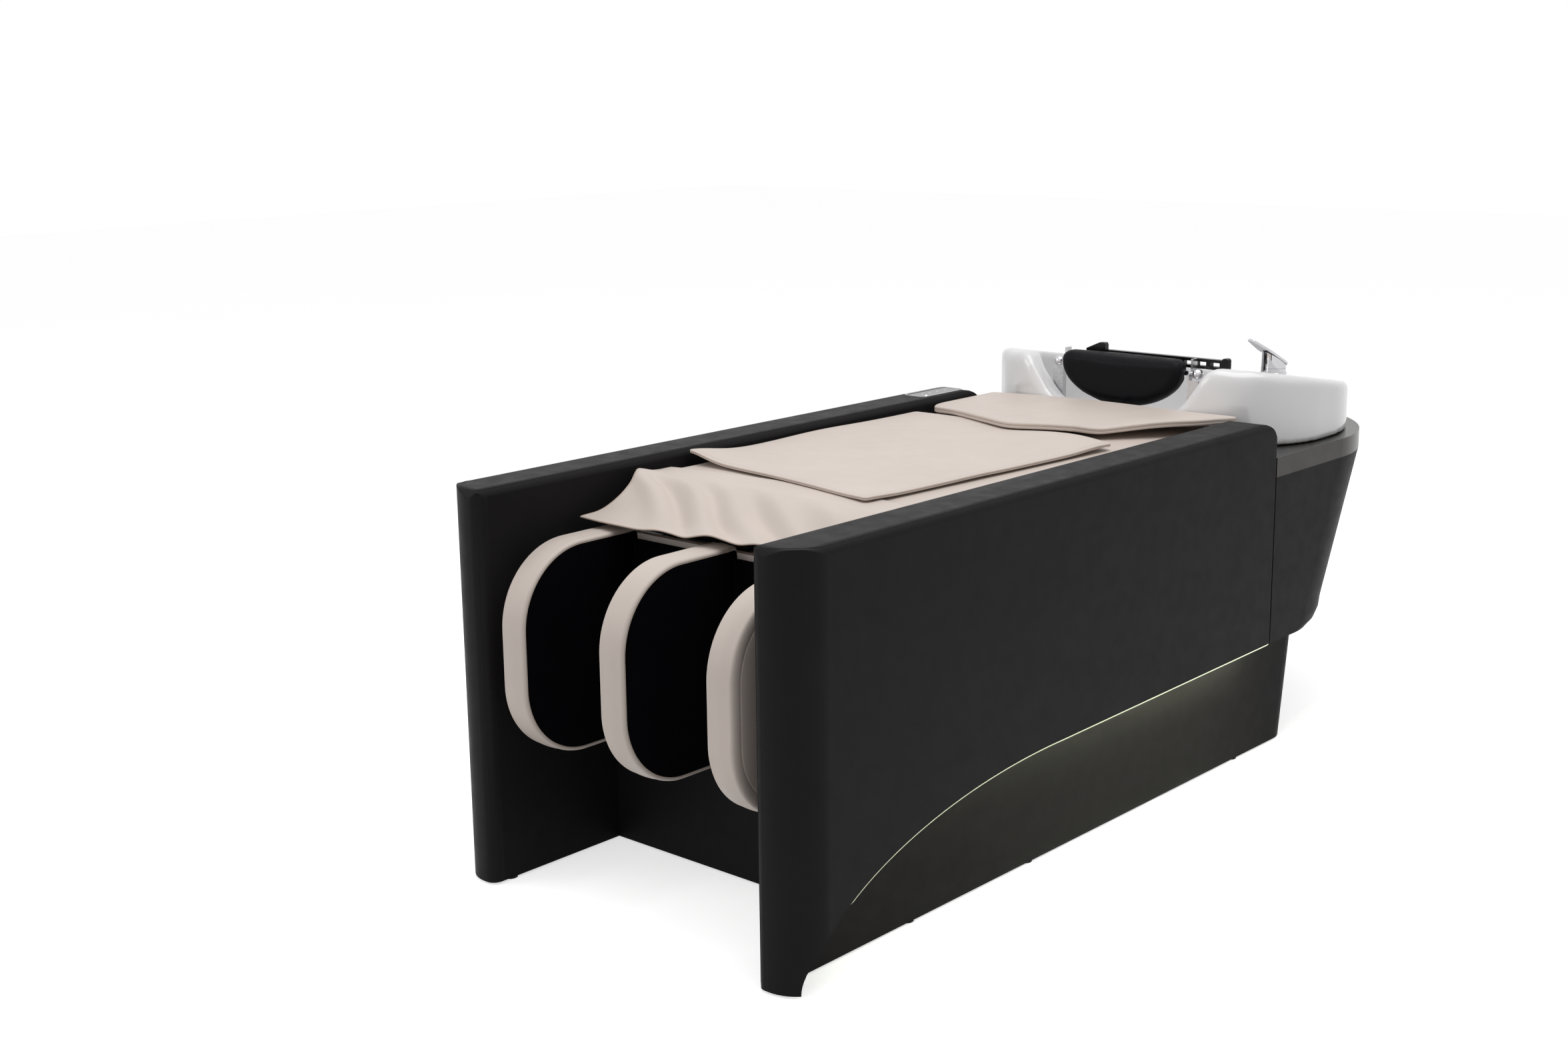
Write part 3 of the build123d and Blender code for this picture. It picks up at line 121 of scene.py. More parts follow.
class Shader:
    """A material under construction, with its Principled surface already joined."""

    def __init__(self, name: str) -> None:
        """Start an empty material.

        Args:
            name: the material's name.
        """
        self.material = bpy.data.materials.new(name)
        self.material.use_nodes = True
        self.tree = self.material.node_tree
        self.tree.nodes.clear()
        self.surface = self.node("ShaderNodeBsdfPrincipled")
        out = self.node("ShaderNodeOutputMaterial")
        self.tree.links.new(self.surface.outputs["BSDF"], out.inputs["Surface"])
        self.place = self.node("ShaderNodeTexCoord").outputs["Object"]

    def node(self, kind: str, inputs: dict[Any, Any] | None = None, **settings: Any) -> bpy.types.Node:
        """Add a node.

        Args:
            kind: Blender's name for the node.
            inputs: its sockets, each with a value or with the socket that feeds it.
            settings: its own properties.

        Returns:
            The new node.
        """
        made = self.tree.nodes.new(kind)
        for name, value in settings.items():
            setattr(made, name, value)
        for name, value in (inputs or {}).items():
            if isinstance(value, bpy.types.NodeSocket):
                self.tree.links.new(value, made.inputs[name])
            else:
                made.inputs[name].default_value = value
        return made

    def set(self, **values: Any) -> None:
        """Set plain values on the surface; an underscore in a name stands for a space."""
        for name, value in values.items():
            self.surface.inputs[name.replace("_", " ")].default_value = value

    def feed(self, name: str, socket: bpy.types.NodeSocket) -> None:
        """Join a socket to one of the surface's inputs."""
        self.tree.links.new(socket, self.surface.inputs[name])

    def noise(self, scale: float, detail: float = 3.0, stretch: Point = (1, 1, 1)) -> bpy.types.NodeSocket:
        """Soft noise through the object.

        Args:
            scale: grains in a metre.
            detail: finer layers added to it.
            stretch: how much denser it is along each axis.

        Returns:
            The noise as a socket between 0 and 1.
        """
        spot = self.node("ShaderNodeMapping", {"Vector": self.place, "Scale": stretch}).outputs[0]
        made = self.node("ShaderNodeTexNoise", {"Vector": spot, "Scale": scale, "Detail": detail})
        return made.outputs["Fac"]

    def between(self, fac: bpy.types.NodeSocket, low: float, high: float) -> bpy.types.NodeSocket:
        """Spread a noise's middle range between two values."""
        made = self.node("ShaderNodeMapRange", {
            "Value": fac, "From Min": NOISE_LOW, "From Max": NOISE_HIGH, "To Min": low, "To Max": high,
        })
        return made.outputs["Result"]

    def tint(self, fac: bpy.types.NodeSocket, colour: Colour, spread: float) -> None:
        """Vary the surface's colour a little.

        Args:
            fac: what the variation follows.
            colour: the mean colour.
            spread: how far it goes to either side, as a share.
        """
        ramp = self.node("ShaderNodeValToRGB", {"Fac": fac})
        ramp.color_ramp.elements[0].position = NOISE_LOW
        ramp.color_ramp.elements[0].color = shaded(colour, 1 - spread)
        ramp.color_ramp.elements[1].position = NOISE_HIGH
        ramp.color_ramp.elements[1].color = shaded(colour, 1 + spread)
        self.feed("Base Color", ramp.outputs["Color"])

    def bump(self, *layers: tuple[bpy.types.NodeSocket, float, float]) -> None:
        """Stack relief layers, each with its height, its depth in metres and its strength."""
        below = None
        for height, depth, strength in layers:
            inputs = {"Height": height, "Distance": depth, "Strength": strength}
            if below is not None:
                inputs["Normal"] = below
            below = self.node("ShaderNodeBump", inputs).outputs["Normal"]
        self.feed("Normal", below)


@dataclass(frozen=True)
class Leather:
    """Grained upholstery leather."""

    name: str
    colour: Colour
    roughness: float = 0.45
    gloss: float = 0.3
    grain: float = 850.0
    relief: float = 0.12 * MM
    spread: float = 0.06

    def material(self) -> bpy.types.Material:
        """The leather's shader: pebbled grain, fine pores, and slow changes of tone."""
        shader = Shader(self.name)
        pebble = shader.node("ShaderNodeTexVoronoi", {
            "Vector": shader.place, "Scale": self.grain, "Randomness": 0.9,
        }, feature="DISTANCE_TO_EDGE").outputs["Distance"]
        pores = shader.noise(self.grain * 3.2, 2.0)
        tone = shader.noise(7.0, 4.0)
        shader.tint(tone, self.colour, self.spread)
        shader.feed("Roughness", shader.between(shader.noise(35.0), self.roughness - 0.04,
                                                self.roughness + 0.05))
        shader.set(Specular_IOR_Level=self.gloss)
        shader.bump((shader.noise(24.0, 2.0), 1.2 * MM, 0.12), (pebble, self.relief, 0.6),
                    (pores, self.relief / 3, 0.5))
        return shader.material


@dataclass(frozen=True)
class Knit:
    """A close black knit, nearly without shine."""

    name: str
    colour: Colour
    pitch: float = 900.0

    def material(self) -> bpy.types.Material:
        """The knit's shader: crossed ribs with a soft nap."""
        shader = Shader(self.name)
        ribs = [
            shader.node("ShaderNodeTexWave", {
                "Vector": shader.place, "Scale": self.pitch / 6.28, "Distortion": 1.5,
            }, bands_direction=way, wave_profile="SIN").outputs["Fac"]
            for way in ("Y", "Z")
        ]
        weave = shader.node("ShaderNodeMath", {0: ribs[0], 1: ribs[1]}, operation="MULTIPLY").outputs[0]
        shader.tint(shader.noise(12.0), self.colour, 0.25)
        shader.set(Roughness=0.95, Specular_IOR_Level=0.03, Sheen_Weight=0.006, Sheen_Roughness=0.5)
        shader.bump((weave, 0.25 * MM, 0.6))
        return shader.material


@dataclass(frozen=True)
class Glaze:
    """Glazed sanitary ceramic."""

    name: str
    colour: Colour

    def material(self) -> bpy.types.Material:
        """The glaze's shader: a clear coat over a faintly uneven white body."""
        shader = Shader(self.name)
        shader.tint(shader.noise(5.0), self.colour, 0.012)
        shader.set(Roughness=0.22, Specular_IOR_Level=0.5, Coat_Weight=0.6, Coat_Roughness=0.03)
        shader.bump((shader.noise(45.0, 2.0), 0.05 * MM, 0.25))
        return shader.material


@dataclass(frozen=True)
class Metal:
    """A bare, plated or brushed metal."""

    name: str
    colour: Colour
    roughness: float = 0.08
    brushed: Point = (1, 1, 1)
    relief: float = 0.0
    spread: float = 0.05

    def material(self) -> bpy.types.Material:
        """The metal's shader, with fine lines along the way it was brushed."""
        shader = Shader(self.name)
        lines = shader.noise(420.0, 3.0, self.brushed)
        shader.tint(shader.noise(9.0), self.colour, self.spread)
        shader.set(Metallic=1.0)
        shader.feed("Roughness", shader.between(lines, self.roughness * 0.8, self.roughness * 1.25))
        if self.relief:
            shader.bump((lines, self.relief, 0.4))
        return shader.material


@dataclass(frozen=True)
class Coating:
    """Paint, powder coat, moulded plastic or rubber."""

    name: str
    colour: Colour
    roughness: float = 0.4
    gloss: float = 0.5
    grain: float = 500.0
    relief: float = 0.05 * MM
    metallic: float = 0.0

    def material(self) -> bpy.types.Material:
        """The coating's shader: a fine skin texture and a little unevenness in its shine."""
        shader = Shader(self.name)
        skin = shader.noise(self.grain, 4.0)
        shader.tint(shader.noise(11.0), self.colour, 0.06)
        shader.feed("Roughness", shader.between(shader.noise(60.0), self.roughness * 0.85,
                                                min(1.0, self.roughness * 1.15)))
        shader.set(Specular_IOR_Level=self.gloss, Metallic=self.metallic)
        shader.bump((skin, self.relief, 0.5))
        return shader.material


@dataclass(frozen=True)
class Veneer:
    """Bare plywood."""

    name: str
    colour: Colour

    def material(self) -> bpy.types.Material:
        """The wood's shader: long rings stretched along the bed."""
        shader = Shader(self.name)
        spot = shader.node("ShaderNodeMapping", {"Vector": shader.place, "Scale": (18, 1.5, 18)}).outputs[0]
        rings = shader.node("ShaderNodeTexWave", {
            "Vector": spot, "Scale": 1.6, "Distortion": 6.0, "Detail": 3.0,
        }).outputs["Fac"]
        shader.tint(rings, self.colour, 0.16)
        shader.set(Roughness=0.62, Specular_IOR_Level=0.3)
        shader.bump((rings, 0.1 * MM, 0.3))
        return shader.material


@dataclass(frozen=True)
class Glow:
    """A milky light guide, which shines by itself.

    Its light can be kept to its lower faces, can grow along the bed, and can wash the board behind it
    from the faces that look towards the bed's middle.
    """

    name: str
    colour: Colour
    strength: float
    downward: bool = False
    fade: tuple[float, float] | None = None
    wash: float = 0.0
    inward: tuple[float, float] = (0.0, -0.2)
    under: tuple[float, float] = (-0.3, -0.6)

    def material(self) -> bpy.types.Material:
        """The light guide's shader: a pale body that also sends out light."""
        shader = Shader(self.name)
        shader.tint(shader.noise(30.0), self.colour, 0.04)
        shader.set(Roughness=0.6, Emission_Color=shaded(self.colour, 1.0), Emission_Strength=self.strength)
        light: bpy.types.NodeSocket | float = self.strength
        facing = shader.node("ShaderNodeNewGeometry").outputs["True Normal"]
        facing = shader.node("ShaderNodeSeparateXYZ", {0: facing}).outputs
        place = shader.node("ShaderNodeSeparateXYZ", {0: shader.place}).outputs
        if self.wash:
            inward = shader.node("ShaderNodeMath", {0: facing["X"], 1: place["X"]}, operation="MULTIPLY")
            extra = self.dimmed(shader, self.wash, inward.outputs[0], *self.inward)
            light = shader.node("ShaderNodeMath", {0: light, 1: extra}, operation="ADD").outputs[0]
        if self.downward:
            light = self.dimmed(shader, light, facing["Z"], *self.under)
        if self.fade:
            light = self.dimmed(shader, light, place["Y"], *self.fade)
        if isinstance(light, bpy.types.NodeSocket):
            shader.feed("Emission Strength", light)
        return shader.material

    def dimmed(self, shader: Shader, light: bpy.types.NodeSocket | float, value: bpy.types.NodeSocket,
               dark: float, bright: float) -> bpy.types.NodeSocket:
        """Let the light grow from nothing to its full strength.

        Args:
            shader: the material under construction.
            light: the full strength.
            value: what the light follows.
            dark: the value with no light.
            bright: the value with all of it.

        Returns:
            The strength that is left.
        """
        share = shader.node("ShaderNodeMapRange", {
            "Value": value, "From Min": dark, "From Max": bright, "To Min": 0.0, "To Max": 1.0,
        }, interpolation_type="SMOOTHSTEP").outputs["Result"]
        return shader.node("ShaderNodeMath", {0: light, 1: share}, operation="MULTIPLY").outputs[0]


Finish = Leather | Knit | Glaze | Metal | Coating | Veneer | Glow

CHARCOAL = Leather("charcoal_leather", (0.0142, 0.0132, 0.0138), 0.46, 0.05, 820.0)
CHARCOAL_BOARD = Leather("charcoal_board", (0.0130, 0.0121, 0.0126), 0.52, 0.04, 820.0)
CREAM = Leather("cream_leather", (0.60, 0.525, 0.475), 0.5, 0.35, 1100.0, 0.07 * MM, 0.025)
PIPING = Leather("piping_leather", (0.46, 0.37, 0.31), 0.55, 0.3, 1100.0, 0.07 * MM, 0.05)
BLACK_KNIT = Knit("black_fabric", (0.0012, 0.0012, 0.0022))
PAD_SKIN = Coating("black_pad", (0.0020, 0.0020, 0.0032), 0.5, 0.12, 900.0, 0.08 * MM)
GLOSS_BLACK = Coating("black_plastic", (0.003, 0.003, 0.004), 0.25, 0.25, 300.0, 0.02 * MM)
DARK_PLASTIC = Coating("dark_plastic", (0.02, 0.02, 0.022), 0.5, 0.4, 700.0)
WHITE_PLASTIC = Coating("trap_plastic", (0.62, 0.62, 0.6), 0.35, 0.5, 500.0)
RUBBER = Coating("glide_rubber", (0.01, 0.01, 0.01), 0.8, 0.3, 700.0)
POWDER_COAT = Coating("frame_metal", (0.008, 0.008, 0.009), 0.42, 0.5, 1500.0, 0.06 * MM)
ACTUATOR_PAINT = Coating("actuator_case", (0.016, 0.016, 0.018), 0.4, 0.5, 900.0)
GLASS = Coating("panel_glass", (0.006, 0.006, 0.008), 0.05, 0.6, 40.0, 0.0)
CERAMIC = Glaze("ceramic", (0.73, 0.725, 0.73))
CHROME = Metal("chrome_plate", (0.60, 0.60, 0.62), 0.07)
STEEL = Metal("steel", (0.55, 0.55, 0.56), 0.28, (1, 12, 1), 0.01 * MM)
BRASS = Metal("brass_fitting", (0.55, 0.4, 0.18), 0.25)
ALUMINIUM = Metal("panel_frame", (0.5, 0.5, 0.52), 0.3, (8, 1, 1), 0.01 * MM)
SHEET_METAL = Metal("box_metal", (0.45, 0.45, 0.46), 0.38, (8, 1, 1), 0.01 * MM)
# The deck's wide tone spread (0.3) is painted light: random light and dark patches on its base colour that
# stand in for the reflections along its band.
DECK_METAL = Metal("deck_metal", (0.038, 0.035, 0.031), 0.27, (1, 1, 14), 0.015 * MM, 0.3)
PLYWOOD = Veneer("plywood", (0.48, 0.33, 0.19))
LIGHT_GUIDE = Glow("light_band", (0.88, 0.93, 0.62), 12.0, downward=True)
SEAM = Coating("charcoal_seam", (0.004, 0.0038, 0.004), 0.7, 0.2, 3000.0)
THREAD = Coating("charcoal_thread", (0.017, 0.016, 0.0165), 0.6, 0.3, 3000.0)
CREAM_THREAD = Coating("cream_thread", (0.50, 0.42, 0.36), 0.7, 0.3, 3000.0)
LIGHT_LENS = Glow("light_lens", (0.88, 0.93, 0.66), 0.8, fade=(-1.0, 0.45), wash=330.0)
LAMP = Glow("panel_lamp", (0.9, 0.95, 1.0), 3.0)

NODE_FINISHES: dict[Finish, tuple[str, ...]] = {
    CHARCOAL: ("side_shell_right", "side_shell_left", "basin_housing"),
    CHARCOAL_BOARD: ("core_board_right", "core_board_left", "cross_panel", "plinth_end"),
    CREAM: ("bed_cushion", "leg_apron", "top_mat", "pillow_flap", "calf_back_board",
            "calf_fin_left", "calf_fin_middle", "calf_fin_right"),
    BLACK_KNIT: ("calf_lining_left", "calf_lining_right"),
    PAD_SKIN: ("neck_pad",),
    GLOSS_BLACK: ("spray_bar",),
    DARK_PLASTIC: ("air_pump", "massage_rollers_front", "massage_rollers_rear"),
    WHITE_PLASTIC: ("waste_trap",),
    RUBBER: ("floor_glides",),
    POWDER_COAT: ("frame_rails", "frame_posts", "frame_crossbars", "hinge_brackets", "legrest_arms",
                  "lift_arm", "lift_clevis", "massage_carriage"),
    ACTUATOR_PAINT: ("lift_body", "massage_motor"),
    GLASS: ("control_glass",),
    CERAMIC: ("basin",),
    CHROME: ("tap_body", "tap_cartridge", "tap_lever", "drain_flange", "neck_axle"),
    STEEL: ("neck_bracket_right", "neck_bracket_left", "neck_stop", "hinge_bar", "lift_rod",
            "hair_strainer", "massage_rails", "massage_screw"),
    BRASS: ("supply_tails",),
    ALUMINIUM: ("control_bezel",),
    SHEET_METAL: ("power_box",),
    DECK_METAL: ("deck",),
    PLYWOOD: ("seat_board", "equipment_shelf"),
    LIGHT_GUIDE: ("light_strip_right", "light_strip_left"),
}


def rounded_loop(corners: Sequence[tuple[float, float]], radii: Sequence[float], arc_steps: int = 12,
                 side_steps: int = 12) -> np.ndarray:
    """A closed outline with round corners, always with the same number of points.

    Args:
        corners: the corners in order.
        radii: the radius at each corner.
        arc_steps: runs along each corner's arc.
        side_steps: points on each side between two arcs.

    Returns:
        The outline's points, one in each row.
    """
    count = len(corners)
    arcs = []
    for number in range(count):
        here = np.array(corners[number], float)
        back = np.array(corners[number - 1], float) - here
        ahead = np.array(corners[(number + 1) % count], float) - here
        back, ahead = back / np.linalg.norm(back), ahead / np.linalg.norm(ahead)
        half = math.acos(float(np.clip(back @ ahead, -1, 1))) / 2
        reach, weight = radii[number] / math.tan(half), math.sin(half)
        start, end = here + back * reach, here + ahead * reach
        arc = []
        for step in range(arc_steps + 1):
            t = step / arc_steps
            a, b, c = (1 - t) ** 2, 2 * t * (1 - t) * weight, t * t
            arc.append((start * a + here * b + end * c) / (a + b + c))
        arcs.append(arc)
    loop: list[np.ndarray] = []
    for number, arc in enumerate(arcs):
        following = arcs[(number + 1) % count][0]
        loop += arc
        for step in range(1, side_steps + 1):
            loop.append(arc[-1] + (following - arc[-1]) * step / (side_steps + 1))
    return np.array(loop)


def drawn_in(loop: np.ndarray, inset: float) -> np.ndarray:
    """An outline moved inward by an inset, along the normals at its points."""
    ahead, back = np.roll(loop, -1, axis=0), np.roll(loop, 1, axis=0)
    run = ahead - back
    run /= np.maximum(np.linalg.norm(run, axis=1, keepdims=True), 1e-9)
    return loop + np.stack((-run[:, 1], run[:, 0]), axis=1) * inset


def inset_corners(corners: Sequence[tuple[float, float]], inset: float) -> list[tuple[float, float]]:
    """The corners of an outline whose sides have all moved inward by an inset."""
    points = np.array(corners, float)
    run = np.roll(points, -1, axis=0) - points
    run /= np.linalg.norm(run, axis=1, keepdims=True)
    ahead = np.stack((-run[:, 1], run[:, 0]), axis=1)
    back = np.roll(ahead, 1, axis=0)
    share = 1 + (ahead * back).sum(axis=1, keepdims=True)
    return [tuple(point) for point in points + (ahead + back) * inset / share]


@dataclass(frozen=True)
class PadPlan:
    """The plan of a thin sewn pad."""

    corners: tuple[tuple[float, float], ...]
    radii: tuple[float, ...]
    arc_steps: int
    side_steps: int

    def outline(self, inset: float) -> np.ndarray:
        """The pad's outline, drawn in by an inset, always with the same number of points."""
        radii = [max(1.0, radius - inset) for radius in self.radii]
        return rounded_loop(inset_corners(self.corners, inset), radii, self.arc_steps, self.side_steps)


def bands(rings: int, around: int, closed: bool = True) -> list[tuple[int, ...]]:
    """The faces between rings of points that lie one after another.

    Args:
        rings: how many rings there are.
        around: how many points each ring has.
        closed: whether a ring's last point joins its first.

    Returns:
        Four-cornered faces.
    """
    last = around if closed else around - 1
    return [
        (r * around + c, r * around + (c + 1) % around, (r + 1) * around + (c + 1) % around,
         (r + 1) * around + c)
        for r in range(rings - 1) for c in range(last)
    ]


def swell(value: float, middle: float, width: float) -> float:
    """A smooth hill of height 1 round a middle."""
    return math.exp(-((value - middle) / width) ** 2)


def ease(value: float, low: float, high: float) -> float:
    """A smooth step from 0 at the low end to 1 at the high end."""
    share = min(1.0, max(0.0, (value - low) / (high - low)))
    return share * share * (3 - 2 * share)


class Bed:
    """The bed's own measures: millimetres from the foot end, turned into the scene's metres."""

    def __init__(self, foot: float) -> None:
        """Note where the foot end lies along the scene's Y axis.

        Args:
            foot: the foot end's place along the bed, in metres.
        """
        self.foot = foot

    def at(self, x: float, y: float, z: float) -> Vector:
        """A point of the scene from millimetres across, along and above the floor."""
        return Vector((x * MM, self.foot + y * MM, z * MM))

    def points(self, rows: Sequence[Sequence[float]]) -> list[Vector]:
        """Many points of the scene from rows of millimetres."""
        return [self.at(*row) for row in rows]


class Workshop:
    """Makes meshes and hands out each finish's material once."""

    def __init__(self) -> None:
        """Start with no material made."""
        self.made: dict[Finish, bpy.types.Material] = {}

    def finish(self, piece: bpy.types.Object, finish: Finish) -> bpy.types.Object:
        """Give a piece one finish.

        Args:
            piece: the mesh object.
            finish: the finish that covers all of it.

        Returns:
            The piece.
        """
        if finish not in self.made:
            self.made[finish] = finish.material()
        piece.data.materials.clear()
        piece.data.materials.append(self.made[finish])
        return piece

    def mesh(self, name: str, points: Sequence[Sequence[float]], faces: Sequence[Sequence[int]],
             finish: Finish) -> bpy.types.Object:
        """Make a smooth mesh object from points and faces, with its finish."""
        data = bpy.data.meshes.new(name)
        data.from_pydata([tuple(point) for point in points], [], [tuple(face) for face in faces])
        data.validate()
        form = bmesh.new()
        form.from_mesh(data)
        bmesh.ops.recalc_face_normals(form, faces=form.faces)
        form.to_mesh(data)
        form.free()
        data.polygons.foreach_set("use_smooth", [True] * len(data.polygons))
        piece = bpy.data.objects.new(name, data)
        bpy.context.scene.collection.objects.link(piece)
        return self.finish(piece, finish)

    def tube(self, name: str, path: Sequence[Vector], radius: float, finish: Finish,
             closed: bool = False, sides: int = 8) -> bpy.types.Object:
        """Make a round welt or piping along a path.

        Args:
            name: the piece's name.
            path: the points along its middle, in metres.
            radius: its radius in metres.
            finish: its finish.
            closed: whether its end joins its start.
            sides: how many faces go round it.

        Returns:
            The piece.
        """
        points: list[Vector] = []
        count = len(path)
        normal = None
        for number, here in enumerate(path):
            ahead = path[(number + 1) % count] if closed or number < count - 1 else here
            back = path[number - 1] if closed or number > 0 else here
            run = (ahead - back).normalized()
            if normal is None:
                normal = run.orthogonal().normalized()
            normal = (normal - run * normal.dot(run)).normalized()
            across = run.cross(normal)
            shrink = 1.0 if closed or 0 < number < count - 1 else 0.4
            for side in range(sides):
                angle = math.tau * side / sides
                points.append(here + (normal * math.cos(angle) + across * math.sin(angle)) * radius * shrink)
        faces = bands(count, sides)
        if closed:
            turn = min(range(sides), key=lambda s: (points[s] - points[(count - 1) * sides]).length)
            last = (count - 1) * sides
            faces += [
                (last + c, last + (c + 1) % sides, (c + 1 + turn) % sides, (c + turn) % sides)
                for c in range(sides)
            ]
        else:
            faces += [tuple(reversed(range(sides))), tuple(range((count - 1) * sides, count * sides))]
        return self.mesh(name, points, faces, finish)

    def stitches(self, name: str, path: Sequence[Vector], normals: Sequence[Vector], pitch: float,
                 finish: Finish, width: float = 0.7 * MM) -> bpy.types.Object:
        """Sew a row of stitches along a path.

        Args:
            name: the piece's name.
            path: the points along the seam, in metres.
            normals: which way the surface faces at each of them.
            pitch: the length of one stitch and its gap, in metres.
            finish: the thread's finish.
            width: the thread's width in metres.

        Returns:
            The row of stitches as one piece.
        """
        runs = [(b - a).length for a, b in zip(path, path[1:])]
        marks = np.concatenate(([0.0], np.cumsum(runs)))
        line, up = np.array(path), np.array(normals)
        points: list[Vector] = []
        faces: list[tuple[int, ...]] = []
        for number in range(int(marks[-1] / pitch)):
            ends = [(number + share) * pitch for share in (0.12, 0.82)]
            middle = sum(ends) / 2
            spot = [Vector([np.interp(m, marks, line[:, axis]) for axis in range(3)]) for m in ends]
            out = Vector([np.interp(middle, marks, up[:, axis]) for axis in range(3)]).normalized()
            run = (spot[1] - spot[0]).normalized()
            side = run.cross(out) * width / 2
            base = len(points)
            for end, rise, spread in ((spot[0], 0.0, 0.5), (spot[0] + run * pitch * 0.12, 0.55, 1.0),
                                      (spot[1] - run * pitch * 0.12, 0.55, 1.0), (spot[1], 0.0, 0.5)):
                top = end + out * rise * width
                points += [end - side * spread - out * width * 0.3, top - side * spread * 0.6,
                           top + side * spread * 0.6, end + side * spread - out * width * 0.3]
            for ring in range(3):
                for c in range(3):
                    faces.append((base + ring * 4 + c, base + ring * 4 + c + 1,
                                  base + ring * 4 + c + 5, base + ring * 4 + c + 4))
            faces += [(base, base + 1, base + 2, base + 3), (base + 15, base + 14, base + 13, base + 12)]
        return self.mesh(name, points, faces, finish)

    def dress_nodes(self, nodes: dict[str, bpy.types.Object]) -> None:
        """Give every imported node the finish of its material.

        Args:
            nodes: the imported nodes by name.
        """
        for finish, names in NODE_FINISHES.items():
            for name in names:
                node = self.finish(nodes[name], finish)
                LOG.info("dressed %s in %s", node.name, finish.name)
        bare = sorted(set(nodes) - {name for names in NODE_FINISHES.values() for name in names})
        if bare:
            raise ValueError("no finish for " + ", ".join(bare))


class Skin:
    """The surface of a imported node, to lay seams on."""

    def __init__(self, node: bpy.types.Object) -> None:
        """Read the node's faces.

        Args:
            node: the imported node.
        """
        data = node.data
        self.tree = BVHTree.FromPolygons([v.co.copy() for v in data.vertices],
                                         [tuple(p.vertices) for p in data.polygons])

    def seam(self, starts: Sequence[Vector], way: Vector) -> tuple[list[Vector], list[Vector]]:
        """Cast points onto the surface.

        Args:
            starts: where the rays begin, in metres.
            way: which way they run.

        Returns:
            The points met and the surface's normals there.
        """
        line, normals = [], []
        for start in starts:
            spot, normal, _, _ = self.tree.ray_cast(start, way)
            if spot is not None:
                normal = normal if normal.dot(way) < 0 else -normal
                line.append(spot)
                normals.append(normal)
        return line, normals


@dataclass
class Foam:
    """How a foam pad swells under its cover."""

    voxel: float = 7.0
    pressure: float = 4.0
    cap: float = 4.0
    frames: int = 20
    quality: int = 4
    tension: float = 20.0
    shear: float = 10.0
    pull: float = 0.6

    def fill(self, piece: bpy.types.Object, keep: Callable[[np.ndarray], np.ndarray]) -> None:
        """Give the piece an even skin, let it swell a little, and keep it inside its space.

        Args:
            piece: the pad, which starts a little small.
            keep: takes the points in metres and gives them back within the pad's space.
        """
        remesh = piece.modifiers.new("even_skin", "REMESH")
        remesh.mode = "VOXEL"
        remesh.voxel_size = self.voxel * MM
        self.settle(piece)
        start = self.read(piece.data)
        cloth = piece.modifiers.new("cover", "CLOTH")
        cloth.settings.use_pressure = True
        cloth.settings.uniform_pressure_force = self.pressure
        cloth.settings.effector_weights.gravity = 0.0
        cloth.settings.quality = self.quality
        cloth.settings.tension_stiffness = self.tension
        cloth.settings.shear_stiffness = self.shear
        scene = bpy.context.scene
        for frame in range(1, self.frames + 1):
            scene.frame_set(frame)
        self.settle(piece)
        scene.frame_set(1)
        moved = self.read(piece.data) - start
        far = np.maximum(np.linalg.norm(moved, axis=1, keepdims=True), 1e-9)
        moved *= np.minimum(1.0, self.cap * MM / far)
        smooth = self.smoothed(piece.data, start + moved)
        piece.data.vertices.foreach_set("co", keep(smooth).ravel())
        piece.data.polygons.foreach_set("use_smooth", [True] * len(piece.data.polygons))
        piece.data.update()

    def settle(self, piece: bpy.types.Object) -> None:
        """Apply the piece's modifiers to its mesh."""
        graph = bpy.context.evaluated_depsgraph_get()
        graph.update()
        data = bpy.data.meshes.new_from_object(piece.evaluated_get(graph))
        finish = list(piece.data.materials)
        piece.modifiers.clear()
        piece.data = data
        piece.data.materials.clear()
        for material in finish:
            piece.data.materials.append(material)

    def read(self, data: bpy.types.Mesh) -> np.ndarray:
        """The mesh's points as rows of an array."""
        rows = np.empty(len(data.vertices) * 3)
        data.vertices.foreach_get("co", rows)
        return rows.reshape(-1, 3)

    def smoothed(self, data: bpy.types.Mesh, rows: np.ndarray, rounds: int = 4,
                 share: np.ndarray | float = 1.0) -> np.ndarray:
        """Even out the steps that the voxels leave.

        Args:
            data: the mesh whose edges join the points.
            rows: the points.
            rounds: how often they are evened out.
            share: how much of each step a point takes.

        Returns:
            The points after it.
        """
        ends = np.empty(len(data.edges) * 2, int)
        data.edges.foreach_get("vertices", ends)
        a, b = ends.reshape(-1, 2).T
        count = np.bincount(np.concatenate((a, b)), minlength=len(rows)).clip(1)[:, None]
        for _ in range(rounds):
            total = np.zeros_like(rows)
            np.add.at(total, a, rows[b])
            np.add.at(total, b, rows[a])
            rows = rows + (total / count - rows) * self.pull * share
        return rows


